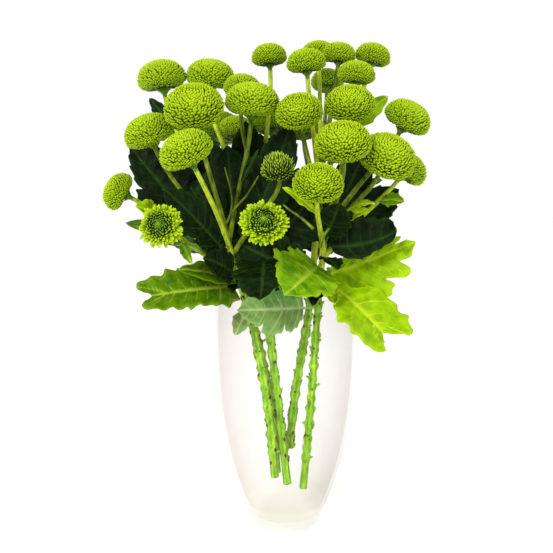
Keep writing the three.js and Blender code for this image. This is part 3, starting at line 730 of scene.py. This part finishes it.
# For each kind: florets at a radius of 20 mm, rise and drop of the envelope
# of their tips, size of the core under them, half width and cupping in radii,
# how far each tip leans to the crown and how much the floret bends on its way
headKeys = ("count", "rise", "drop", "core", "width", "cup", "lean", "bend")
headRows = {
    "button": (880, 0.78, 0.44, 0.78, 0.057, 0.03, 0.17, 1.2),
    "open": (440, 0.5, 0.36, 0.56, 0.06, 0.035, 0.24, 1.4),
    "young": (460, 0.95, 0.48, 0.7, 0.064, 0.03, 0.26, 0.8),
}
heads = {kind: dict(zip(headKeys, row)) for kind, row in headRows.items()}
lowest = math.radians(152)  # angle from the crown down to the last florets
squareness = 0.88  # a bun's sides stand a little squarer than a ball's
corePoints = {"falls": 15, "turns": 28}
coreSeat = {"share": 0.883, "button": 0.08}  # a core's middle: a share of the drop, higher in a button


# Points of a bun: at an angle fall from its axis and a turn round it, the distance from the axis
# is sin fall to the power of the squareness, and the height is rise or drop x cos fall, in radii
def ballPoints(fall, turn, rise, drop):
    deep = np.where(np.cos(fall) > 0, rise, drop)
    wide = np.sign(fall) * np.abs(np.sin(fall)) ** squareness
    return np.stack([wide * np.cos(turn), wide * np.sin(turn), deep * np.cos(fall)], -1)


# Florets stand on a core in a golden-angle spiral. Each runs from the core to a point
# of the envelope nearer the crown, on an arc that starts outwards and ends bent over
# towards the crown. age is 0 at the crown and 1 at the rim. An open head has short
# pointed florets inside and long spoons outside, and a young one ends in a tuft.
def headSkins(name):
    radius, kind = blooms[name][3], kinds[name]
    settings = heads[kind]
    rise, drop = settings["rise"], settings["drop"]
    middle = np.array([0, 0, coreSeat["share"] * headShape[kind][1] + coreSeat.get(kind, 0)])
    random = np.random.default_rng(100 + int(name))
    count = int(settings["count"] * radius / 20)
    k = np.arange(count)
    fall = np.arccos(1 - ((k + 0.5) / count) ** 1.04 * (1 - math.cos(lowest)))
    turn = k * goldenAngle + random.uniform(-0.03, 0.03, count)
    age = fall / lowest
    size = (0.78 + 0.4 * age) * random.uniform(0.9, 1.1, count)
    crownward = np.clip(1 - age / 0.55, 0, 1)
    width = settings["width"] * size * (1 + (0.4 * crownward if kind == "button" else 0))
    lean = settings["lean"] * random.uniform(0.7, 1.3, count) * np.minimum(1, 3 * age)
    bend = settings["bend"] * random.uniform(0.8, 1.2, count)
    reach = 1.03 + random.uniform(-0.03, 0.03, count) * (0.4 + age)
    # Painted light and shade: florets are lighter on the crown and darker towards the rim, as light falls
    # from above, plus a little random tone of their own
    tone = random.uniform(-0.07, 0.07, count) + 0.13 - 0.41 * age
    if kind == "open":
        outer = np.clip((age - 0.2) / 0.3, 0, 1)
        reach = reach - 0.14 + outer * random.uniform(-0.2, 0.16, count)
        width = width * (0.8 + random.uniform(0.2, 0.55, count) * outer)
        lean = lean + 0.26 * (1 - outer)
        bend = bend * (1 - random.uniform(0.7, 1.2, count) * outer)
        tone = tone + 0.16 * outer - 0.36 * (1 - outer)
    if kind == "young":
        reach = reach + random.uniform(-0.08, 0.12, count) + 0.24 * np.exp(-((age / 0.14) ** 2))
    foot = ballPoints(fall, turn, rise, drop) * settings["core"]
    tip = ballPoints(fall - lean, turn, rise, drop) * reach[:, None]
    chord = tip - foot
    out = unit(chord)
    crown = np.stack([-np.cos(turn), -np.sin(turn), np.full(count, 0.6)], -1)
    crown = unit(crown - (crown * out).sum(1)[:, None] * out)
    length = np.linalg.norm(chord, axis=1) * (bend / 2) / np.sin(bend / 2)

    def floretsOf(chosen, outline):
        return strapSkin(
            (foot + middle)[chosen] * radius,
            out[chosen],
            crown[chosen],
            length[chosen] * radius,
            width[chosen] * radius,
            width[chosen] * 0.42 * radius,
            settings["cup"] * radius,
            (-bend[chosen] / 2, bend[chosen]),
            outline,
            {"tone": tone[chosen]},
            5,
        )

    pointed = (age < random.uniform(0.26, 0.44, count)) if kind == "open" else np.full(count, kind == "young")
    inner = 1 if kind == "open" else 0  # an open head's inner florets and core have the second material
    skins, slots = [], []
    for chosen, outline, look in ((pointed, "point", inner), (~pointed, "spoon", 0)):
        if chosen.any():
            skins.append(floretsOf(chosen, outline))
            slots.append(look)
    falls = np.linspace(math.pi - 0.05, 0.02, corePoints["falls"])[:, None]
    turns = evenTurns(corePoints["turns"])[None]
    rings = ballPoints(falls + 0 * turns, turns + 0 * falls, rise, drop) * (settings["core"] + 0.06) + middle
    # Painted light: on a button the core's top is lighter, as if lit from above, so gaps at the crown show
    # mid-green; its sides keep the dark foot colour, painted shade
    light = 0.62 * np.clip((np.cos(falls) + 0.15) / 0.6, 0, 1) if kind == "button" else 0 * falls
    skins.append(tubeSkin((rings * radius)[None], {"along": 0.0, "tone": light[None]}))
    return joinSkins(skins, slots + [inner])


headLooks = {"button": [florets], "open": [florets, youngFlorets], "young": [youngFlorets]}
for name, stalk in stalks.items():
    head = headSkins(name)
    head["points"] = stalk["seat"] + head["points"] @ np.stack([*squareTo(stalk["axis"]), stalk["axis"]])
    makePiece("flowerHead_" + name, head, headLooks[kinds[name]], ["bloom_" + name])
print("flower heads made")

# Each leaf: stem, height of its node, tip, width, arch, turn and rise of
# its upper side, tone, how far its bays are filled. The dark tone is painted
# shade. The dark ones from 23 on are sheets of painted shade that fill the
# shaded inside of the bouquet, and stand for no node of the model.
leaves = {
    "01": ("a", 212, (-116, -52, 207), 45, 30, 268, 44, "fresh", 0),
    "02": ("b", 240, (-133, 11, 329), 56, 12, 268, 20, "dark", 0.4),
    "03": ("a", 235, (-98, -39, 293), 36, 24, 240, 50, "dark", 0.4),
    "04": ("a", 222, (-66, -46, 238), 32, 40, 258, 30, "dark", 0.4),
    "05": ("e", 193, (-40, -34, 194), 44, 24, 268, 6, "pale", 0.15),
    "06": ("c", 232, (-20, -74, 206), 52, 60, 262, 24, "dark", 0.4),
    "07": ("e", 230, (-2, -76, 212), 58, 50, 265, 20, "mid", 0.55),
    "08": ("e", 246, (94, -30, 261), 46, 32, 283, 14, "dark", 0),
    "09": ("d", 213, (108, -20, 249), 66, 28, 280, 22, "bright", 0),
    "10": ("e", 218, (86, -57, 168), 60, 46, 298, 40, "bright", 0),
    "11": ("e", 250, (42, -50, 282), 32, 20, 275, 20, "dark", 0.5),
    "12": ("a", 222, (-49, 1, 329), 58, 8, 266, -1, "dark", 0.5),
    "13": ("a", 229, (5, 2, 346), 42, 33, 274, 7, "dark", 0.5),
    "14": ("b", 220, (-91, 49, 288), 46, 30, 259, 60, "dark", 0.3),
    "15": ("d", 244, (68, 25, 321), 54, 20, 284, -1, "dark", 0.45),
    "16": ("d", 235, (98, 12, 292), 44, 30, 290, 30, "dark", 0.4),
    "17": ("b", 212, (-110, 66, 240), 48, 50, 110, 40, "dark", 0.25),
    "18": ("d", 222, (48, 96, 262), 50, 50, 70, 40, "dark", 0.25),
    "19": ("c", 212, (-18, 84, 232), 50, 56, 90, 40, "mid", 0.25),
    "20": ("d", 208, (84, 66, 208), 48, 50, 50, 50, "bright", 0.25),
    "21": ("c", 236, (26, 8, 290), 56, 20, 268, 6, "dark", 0.5),
    "22": ("b", 239, (-82, 50, 297), 46, 6, 283, 16, "dark", 0.4),
    "23": ("b", 222, (-50, -28, 206), 44, 60, 262, 20, "dark", 0.5),
    "24": ("d", 236, (50, 18, 292), 50, 14, 275, 10, "dark", 0.5),
    "25": ("a", 225, (-84, 8, 300), 46, 16, 262, 10, "dark", 0.5),
    "26": ("c", 240, (-22, 20, 340), 56, 10, 268, 6, "dark", 0.5),
    "27": ("b", 236, (-66, 18, 334), 50, 10, 262, 6, "dark", 0.5),
    "28": ("c", 236, (-34, 14, 350), 44, 8, 262, 4, "dark", 0.5),
    "29": ("e", 215, (-44, -20, 250), 52, 20, 268, 10, "dark", 0.5),
}
leavesInModel = 22
# Leaves that aren't even: sideways sag in shares of the reach, where the tip
# starts to curl up and by how many degrees, and the share of each hand's width
uneven = {
    "01": (0.03, 0.8, 0, 1.0, 1.05),
    "02": (0.02, 0.82, 25, 1.25, 0.8),
    "08": (-0.1, 0.78, 130, 0.5, 1.2),
    "09": (-0.02, 0.85, 20, 1.15, 0.5),
    "10": (-0.04, 0.8, 20, 1.0, 1.0),
    "06": (0.04, 0.8, 30, 1.0, 0.9),
    "07": (0.03, 0.85, 20, 1.05, 0.9),
}
evenLeaf = (0, 0.8, 0, 1, 1)
# Half outlines: place along the rib, the edge point's place along the leaf, its
# share of half the width, and 2 at a lobe's tip or 1 at a tooth, where a vein ends
lobedEdge = [
    (0, 0, 0.035, 0), (0.1, 0.1, 0.035, 0), (0.16, 0.155, 0.05, 0), (0.19, 0.17, 0.2, 0),
    (0.215, 0.19, 0.46, 1), (0.235, 0.225, 0.5, 0), (0.26, 0.26, 0.72, 1), (0.275, 0.3, 0.71, 0),
    (0.3, 0.36, 0.86, 2), (0.325, 0.385, 0.78, 0), (0.345, 0.42, 0.76, 1), (0.38, 0.425, 0.5, 0),
    (0.41, 0.45, 0.66, 0), (0.435, 0.49, 0.84, 1), (0.455, 0.53, 0.84, 0), (0.48, 0.58, 0.99, 1),
    (0.5, 0.61, 0.94, 0), (0.525, 0.66, 1.0, 2), (0.545, 0.685, 0.86, 0), (0.57, 0.72, 0.8, 1),
    (0.62, 0.69, 0.46, 0), (0.66, 0.73, 0.58, 0), (0.7, 0.785, 0.62, 1), (0.74, 0.8, 0.5, 0),
    (0.79, 0.875, 0.5, 1), (0.83, 0.88, 0.36, 0), (0.88, 0.94, 0.3, 1), (0.93, 0.95, 0.15, 0),
    (1, 1, 0, 2),
]
fanEdge = [
    (0, 0, 0.035, 0), (0.06, 0.05, 0.06, 0), (0.09, 0.06, 0.4, 0), (0.12, 0.08, 0.72, 1),
    (0.16, 0.15, 0.76, 0), (0.2, 0.2, 0.96, 1), (0.25, 0.27, 0.88, 0), (0.3, 0.35, 1.0, 2),
    (0.35, 0.39, 0.9, 0), (0.4, 0.47, 0.99, 1), (0.45, 0.5, 0.86, 0), (0.5, 0.58, 0.93, 1),
    (0.55, 0.61, 0.78, 0), (0.6, 0.7, 0.86, 1), (0.66, 0.74, 0.7, 0), (0.72, 0.83, 0.76, 1),
    (0.77, 0.88, 0.7, 0), (0.81, 0.97, 0.62, 1), (0.84, 1.0, 0.42, 2), (0.86, 0.97, 0.24, 0),
    (0.88, 0.9, 0.1, 0), (0.885, 0.885, 0, 2),
]
# Three long lobes that spread from the end of a petiole
handEdge = [
    (0, 0, 0.03, 0), (0.16, 0.16, 0.035, 0), (0.2, 0.19, 0.14, 0), (0.24, 0.2, 0.34, 1),
    (0.27, 0.3, 0.5, 0), (0.3, 0.38, 0.66, 1), (0.33, 0.46, 0.76, 0), (0.37, 0.6, 0.96, 1),
    (0.4, 0.68, 0.98, 2), (0.43, 0.7, 0.86, 0), (0.46, 0.735, 0.76, 1), (0.5, 0.66, 0.56, 0),
    (0.54, 0.7, 0.56, 0), (0.58, 0.82, 0.64, 1), (0.62, 0.88, 0.58, 2), (0.66, 0.885, 0.46, 0),
    (0.7, 0.83, 0.3, 0), (0.76, 0.83, 0.26, 0), (0.84, 0.92, 0.27, 1), (0.9, 0.95, 0.18, 0),
    (1, 1, 0, 2),
]
# Short petiole, small basal lobes, then a broad blade whose end parts into two big tips
wideEdge = [
    (0, 0, 0.03, 0), (0.14, 0.14, 0.04, 0), (0.18, 0.16, 0.2, 0), (0.22, 0.2, 0.34, 1),
    (0.26, 0.28, 0.3, 0), (0.3, 0.33, 0.44, 0), (0.35, 0.38, 0.72, 1), (0.4, 0.46, 0.8, 0),
    (0.45, 0.53, 0.94, 1), (0.5, 0.6, 0.9, 0), (0.55, 0.69, 1.0, 2), (0.6, 0.74, 0.88, 0),
    (0.66, 0.83, 0.92, 1), (0.71, 0.88, 0.78, 0), (0.75, 0.98, 0.72, 1), (0.78, 1.0, 0.5, 2),
    (0.8, 0.93, 0.4, 0), (0.815, 0.92, 0.26, 1), (0.83, 0.86, 0.12, 0), (0.835, 0.835, 0, 2),
]
# Nearly whole, with rounded sides
roundEdge = [
    (0, 0, 0.03, 0), (0.08, 0.06, 0.1, 0), (0.12, 0.08, 0.5, 1), (0.18, 0.17, 0.72, 0),
    (0.24, 0.26, 0.92, 1), (0.3, 0.33, 0.9, 0), (0.36, 0.42, 1.0, 2), (0.42, 0.45, 0.9, 0),
    (0.5, 0.54, 0.84, 1), (0.56, 0.58, 0.7, 0), (0.62, 0.68, 0.7, 1), (0.68, 0.72, 0.58, 0),
    (0.76, 0.82, 0.56, 1), (0.84, 0.9, 0.42, 0), (0.92, 0.97, 0.22, 0), (1, 1, 0, 2),
]
outlines = {"01": fanEdge, "08": roundEdge, "09": handEdge, "10": wideEdge}  # all other leaves are lobed
# Points across each half, between an outline's rows, and along the spine. Fold, wave and
# frill are shares of the width, and a blade is 0.5 mm thick and starts sunk in the rind.
bladePoints = {"across": 9, "finer": 5, "spine": 120}
bladeSize = {"fold": 0.1, "wave": 0.04, "frill": 0.03, "groove": 0.45, "pucker": 0.7, "thick": 0.5}
sunkBlade = 0.4
# Veins, by rank: how far back along the rib they leave it, in shares of the reach, and half their width in mm
veinSize = {"rib": (0.8, 0.5), "back": (0, 0.05, 0.09), "half": (0, 0.36, 0.62), "bow": 0.03, "taper": 0.6}
# Where filled bays would put the edge: places along the leaf, and shares of half the width
wholeLeaf = ([0.15, 0.22, 0.36, 0.66, 0.8, 0.9, 1], [0, 0.5, 0.9, 1, 0.8, 0.5, 0])


# Points of a smooth curve through the rows, finer times as many
def finerRows(rows, finer):
    p = np.concatenate([[2 * rows[0] - rows[1]], rows, [2 * rows[-1] - rows[-2]]])
    u = np.linspace(0, len(rows) - 1, (len(rows) - 1) * finer + 1)
    s = np.minimum(u.astype(int), len(rows) - 2)
    t = (u - s)[:, None]
    a, b, c, d = (p[s + i] for i in range(4))
    return 0.5 * (2 * b + (c - a) * t + (2 * a - 5 * b + 4 * c - d) * t**2 + (3 * b - a - 3 * c + d) * t**3)


# Skin of a blade in its own axes, X from base to tip and Z out of its upper side. A point
# at a place along and side across lies on a spine from base to tip, folded up by |side|,
# waved at its edges, puffed up between the veins and sunk by the groove on each vein. The
# spine's slope falls evenly by the arch and rises by the curl near the tip, and its points
# are the running sum of its directions. The blade sags sideways by sag x 4 u (1 - u).
def bladeSkin(edge, reach, width, arch, seed, filled, shape):
    sag, curlFrom, curl, lowHand, highHand = shape
    handWidth = {-1: lowHand, 1: highHand}
    random = np.random.default_rng(seed)
    fine = finerRows(np.array([row[:3] for row in edge], float), bladePoints["finer"])
    whole = np.interp(fine[:, 1], *wholeLeaf)
    fine[:, 2] = np.maximum(fine[:, 2], 0) + filled * np.maximum(whole - fine[:, 2], 0)
    across = np.linspace(0, 1, bladePoints["across"])
    hands = []
    for hand in (-1, 1):
        stretch = 1 + 0.05 * np.sin(random.uniform(0, 6) + 9 * fine[:, 0])
        along = fine[:, :1] + (fine[:, 1:2] - fine[:, :1]) * across
        hands.append((along, hand * handWidth[hand] * (fine[:, 2] * stretch)[:, None] * across))
    along, side = (np.concatenate([low[:, ::-1], high[:, 1:]], 1) for low, high in zip(*hands))
    share = np.concatenate([across[::-1], across[1:]])[None] + 0 * along
    x, y = along * reach, side * width / 2
    # Veins: the rib, and one bent line to each lobe and tooth
    ribHalf, ribTaper = veinSize["rib"]
    lines = [np.stack([np.linspace(0, 1, 60) * reach, np.zeros(60)], -1)]
    sizes = [ribHalf + ribTaper * np.linspace(1, 0, 60)]
    u = np.linspace(0, 1, 40)[:, None]
    for ribAlong, at, out, rank in [row for row in edge if row[3]][:-1]:
        for hand in (-1, 1):
            root = np.array([(ribAlong - veinSize["back"][rank]) * reach, 0])
            tip = np.array([at * reach, hand * handWidth[hand] * out * width / 2])
            knee = root + (tip - root) * 0.5 + veinSize["bow"] * np.array([-reach, hand * width])
            lines.append((1 - u) ** 2 * root + 2 * u * (1 - u) * knee + u**2 * tip)
            sizes.append(veinSize["half"][rank] * (1 - veinSize["taper"] * u[:, 0]))
    vein = np.zeros(x.shape)
    for line, size in zip(lines, sizes):
        gap = np.hypot(x[..., None] - line[:, 0], y[..., None] - line[:, 1])
        vein = np.maximum(vein, np.exp(-((gap / size) ** 2)).max(-1) * np.minimum(size.max() + 0.25, 1))
    phase = random.uniform(0, 6, 4)
    ripple = bladeSize["wave"] * side**2 * np.sin(14 * along + 2 * side)
    frill = bladeSize["frill"] * np.abs(side) ** 3 * np.sin(31 * along + phase[0] + 3 * side)
    puffs = np.sin(x * 0.55 + phase[1] + 0.3 * np.abs(y)) * np.sin(y * 0.5 + phase[2])
    pucker = bladeSize["pucker"] * puffs * (1 - vein) * np.minimum(1, 3 * along)
    lift = width * (bladeSize["fold"] * np.abs(side) + ripple + frill) + pucker - bladeSize["groove"] * vein
    last = bladePoints["spine"]
    u = np.linspace(0, 1, last + 1)
    curled = math.radians(curl) * np.clip((u - curlFrom) / (1 - curlFrom), 0, 1) ** 1.5
    slope = math.radians(arch) * (0.5 - u) + curled
    spine = np.cumsum(np.stack([np.cos(slope), np.sin(slope)], 1), 0) / (last + 1)
    # A tip that curls right over doesn't count towards the reach
    spine *= reach / spine[int(last * curlFrom) if curl > 90 else last, 0] * (curlFrom if curl > 90 else 1)
    tilt = np.interp(along, u, slope)
    forth = np.interp(along, u, spine[:, 0]) - lift * np.sin(tilt)
    high = np.interp(along, u, spine[:, 1]) + lift * np.cos(tilt)
    points = np.stack([forth, y + reach * sag * 4 * along * (1 - along), high], -1)
    m, n = x.shape
    i, j = np.arange(m - 1)[:, None], np.arange(n - 1)[None, :]
    quads = np.stack([i * n + j, (i + 1) * n + j, (i + 1) * n + j + 1, i * n + j + 1], -1)
    return {
        "points": points.reshape(-1, 3),
        "quads": quads.reshape(-1, 4),
        "tris": np.zeros((0, 3), int),
        "values": {"vein": vein.ravel(), "edge": share.ravel(), "along": along.ravel()},
    }


# A blade from its base to its tip, its upper side turned as
# near as it can to a direction, with a back of its own material
def makeBlade(name, edge, base, tip, width, arch, upper, tone, seed, filled=0.0, shape=evenLeaf, replaced=()):
    tip = np.array(tip, float)
    skin = bladeSkin(edge, np.linalg.norm(tip - base), width, arch, seed, filled, shape)
    along = unit(tip - base)
    side = unit(np.cross(upper, along))
    skin["points"] = base + skin["points"] @ np.stack([along, side, np.cross(along, side)])
    piece = makePiece(name, skin, [leafTones[tone], leafBacks[tone]], replaced)
    solid = piece.modifiers.new("thickness", "SOLIDIFY")
    solid.thickness = bladeSize["thick"] * millimetre
    solid.offset = 0
    solid.material_offset = 1


for name, (letter, height, tip, width, arch, turn, rise, tone, filled) in leaves.items():
    place, along, radius = stemAt(letter, height)
    out = np.array(tip, float) - place
    out = unit(out - (out @ along) * along)
    base = place + out * (radius - sunkBlade)
    look = (outlines.get(name, lobedEdge), base, tip, width, arch, heading(turn, rise), tone)
    replaced = ["leaf_" + name] if int(name) <= leavesInModel else []
    makeBlade("leafBlade_" + name, *look, 300 + int(name), filled, uneven.get(name, evenLeaf), replaced)
print("leaves made")

# Each bract: host (a bloom's stalk or a main stem), share of
# its length, tip, width, turn and rise of its upper side, tone
# A dark bract wears the shaded copy of the leaf, which is painted shade
bracts = [
    ("23", 0.75, (-3, -72, 294), 10, 270, 40, "bright"),
    ("15", 0.5, (88, 20, 371), 21, 268, 10, "bright"),
    ("01", 0.75, (-117, 22, 370), 14, 250, 30, "dark"),
    ("21", 0.75, (97, -22, 282), 15, 300, 20, "mid"),
    ("26", 0.5, (-84, -64, 250), 10, 200, 60, "mid"),
    ("26", 0.75, (-72, -70, 236), 10, 250, 10, "mid"),
    ("27", 0.75, (-119, -44, 279), 17, 265, 20, "bright"),
    ("31", 0.5, (88, 44, 300), 14, 60, 40, "dark"),
    ("30", 0.5, (-70, 74, 304), 14, 110, 40, "dark"),
    ("20", 0.5, (70, -44, 281), 9, 290, 30, "bright"),
    ("05", 0.5, (-22, -30, 324), 6, 280, 20, "dark"),
    ("e", 0.8, (20, -66, 203), 16, 270, 40, "dark"),
    ("e", 0.81, (38, -60, 203), 18, 285, 60, "bright"),
    ("e", 0.9, (40, -56, 230), 20, 290, 40, "dark"),
    ("a", 0.84, (-86, -45, 229), 22, 262, 40, "fresh"),
    ("a", 0.73, (-42, -28, 172), 16, 262, 10, "pale"),
    ("20", 0.3, (66, -36, 276), 12, 280, 30, "bright"),
]
bractArch = 30
bractEdge = [
    (0, 0, 0.2, 0), (0.12, 0.13, 0.4, 0), (0.25, 0.3, 0.72, 1), (0.34, 0.36, 0.78, 0),
    (0.44, 0.5, 1, 1), (0.55, 0.56, 0.88, 0), (0.66, 0.72, 0.78, 1), (0.76, 0.79, 0.56, 0),
    (0.88, 0.92, 0.34, 0), (1, 1, 0, 2),
]
for i, (host, share, tip, width, turn, rise, tone) in enumerate(bracts):
    path = stemPaths[host] if host in stemPaths else stalks[host]["path"]
    base = pointAt(path, share * (len(path) - 1))
    look = (bractEdge, base, tip, width, bractArch, heading(turn, rise), tone)
    makeBlade("bract_%02d" % (i + 1), *look, 500 + i)

# Bud: an egg on a short stalk, wrapped in two rows of pointed scales. radii
# are those at the places along it. A row starts at a share of its length and
# a distance from its axis, and a scale has the same sizes as in a calyx.
bud = {
    "host": "27", "share": 0.5, "tip": (-125, -52, 266),
    "along": [0, 0.3, 0.5, 0.56, 0.64, 0.74, 0.85, 0.94, 1.0],
    "radii": [1.3, 1.1, 1.1, 2.0, 3.9, 4.6, 3.9, 2.3, 0.5],
    "scales": 7, "upperRow": (0.66, 3.9), "lowerRow": (0.56, 2.2), "scaleSize": (8.5, 1.5, 0.35, 0.3),
}
path = stalks[bud["host"]]["path"]
base = path[int(bud["share"] * (len(path) - 1))]
length = np.array(bud["tip"], float) - base
egg = ribbedTube(base + np.array(bud["along"])[:, None] * length, np.array(bud["radii"]), 14, 7, 0.04)
axis = unit(length)
order = np.arange(2 * bud["scales"])
upper = order >= bud["scales"]
outwards = around(order * 2 * math.pi / bud["scales"] + upper * 0.45, *squareTo(axis))
far, out = np.where(upper[:, None], bud["upperRow"], bud["lowerRow"]).T
scales = strapSkin(
    base + axis * (np.linalg.norm(length) * far)[:, None] + outwards * out[:, None],
    unit(outwards * 0.45 + axis),
    unit(axis * 0.45 - outwards),
    *bud["scaleSize"],
    (-0.1, 1.0),
    "point",
    {"rib": np.linspace(-0.6, 0.9, len(order))},
)
makePiece("flowerBud", joinSkins([egg, scales]), [calyxGreen])
print("bracts and bud made")

# Plain pale floor, just under the vase, and a plain white sky
stageSize = {"floor": 12.0, "below": 0.0005, "sky": 1.0}
floorMaterial, add, place = newMaterial("paleFloor")
speck = add("TexNoise", {"Scale": 8.0, "Detail": 3.0}, {"Vector": place})
tint = add("ValToRGB", {"stops": [(0.3, "#fdfdfc"), (0.7, "#ffffff")]}, {0: speck})
closeMaterial(add, {"Roughness": 0.9}, {"Base Color": tint})
half = stageSize["floor"] / 2
corners = [(-half, -half, 0), (half, -half, 0), (half, half, 0), (-half, half, 0)]
floorMesh = bpy.data.meshes.new("floor")
floorMesh.from_pydata(corners, [], [(0, 1, 2, 3)])
floorMesh.materials.append(floorMaterial)
floor = bpy.data.objects.new("floor", floorMesh)
floor.location.z = -stageSize["below"]
bpy.context.scene.collection.objects.link(floor)

world = bpy.data.worlds.new("studio")
world.use_nodes = True
sky = world.node_tree.nodes["Background"]
sky.inputs["Color"].default_value = (1, 1, 1, 1)
sky.inputs["Strength"].default_value = stageSize["sky"]
bpy.context.scene.world = world

lamps = {
    "keyLight": {"place": (-1.0, -1.5, 1.3), "aim": (0, 0, 0.3), "size": 0.7, "power": 34},
    "fillLight": {"place": (1.4, -1.1, 0.6), "aim": (0, 0, 0.28), "size": 1.2, "power": 8},
}
for name, settings in lamps.items():
    data = bpy.data.lights.new(name, "AREA")
    data.energy = settings["power"]
    data.size = settings["size"]
    lamp = bpy.data.objects.new(name, data)
    lamp.location = settings["place"]
    aim = np.array(settings["aim"]) - np.array(settings["place"])
    lamp.rotation_euler = (math.acos(-aim[2] / np.linalg.norm(aim)), 0, math.atan2(-aim[0], aim[1]))
    bpy.context.scene.collection.objects.link(lamp)
print("floor and light set")

bpy.context.view_layer.update()
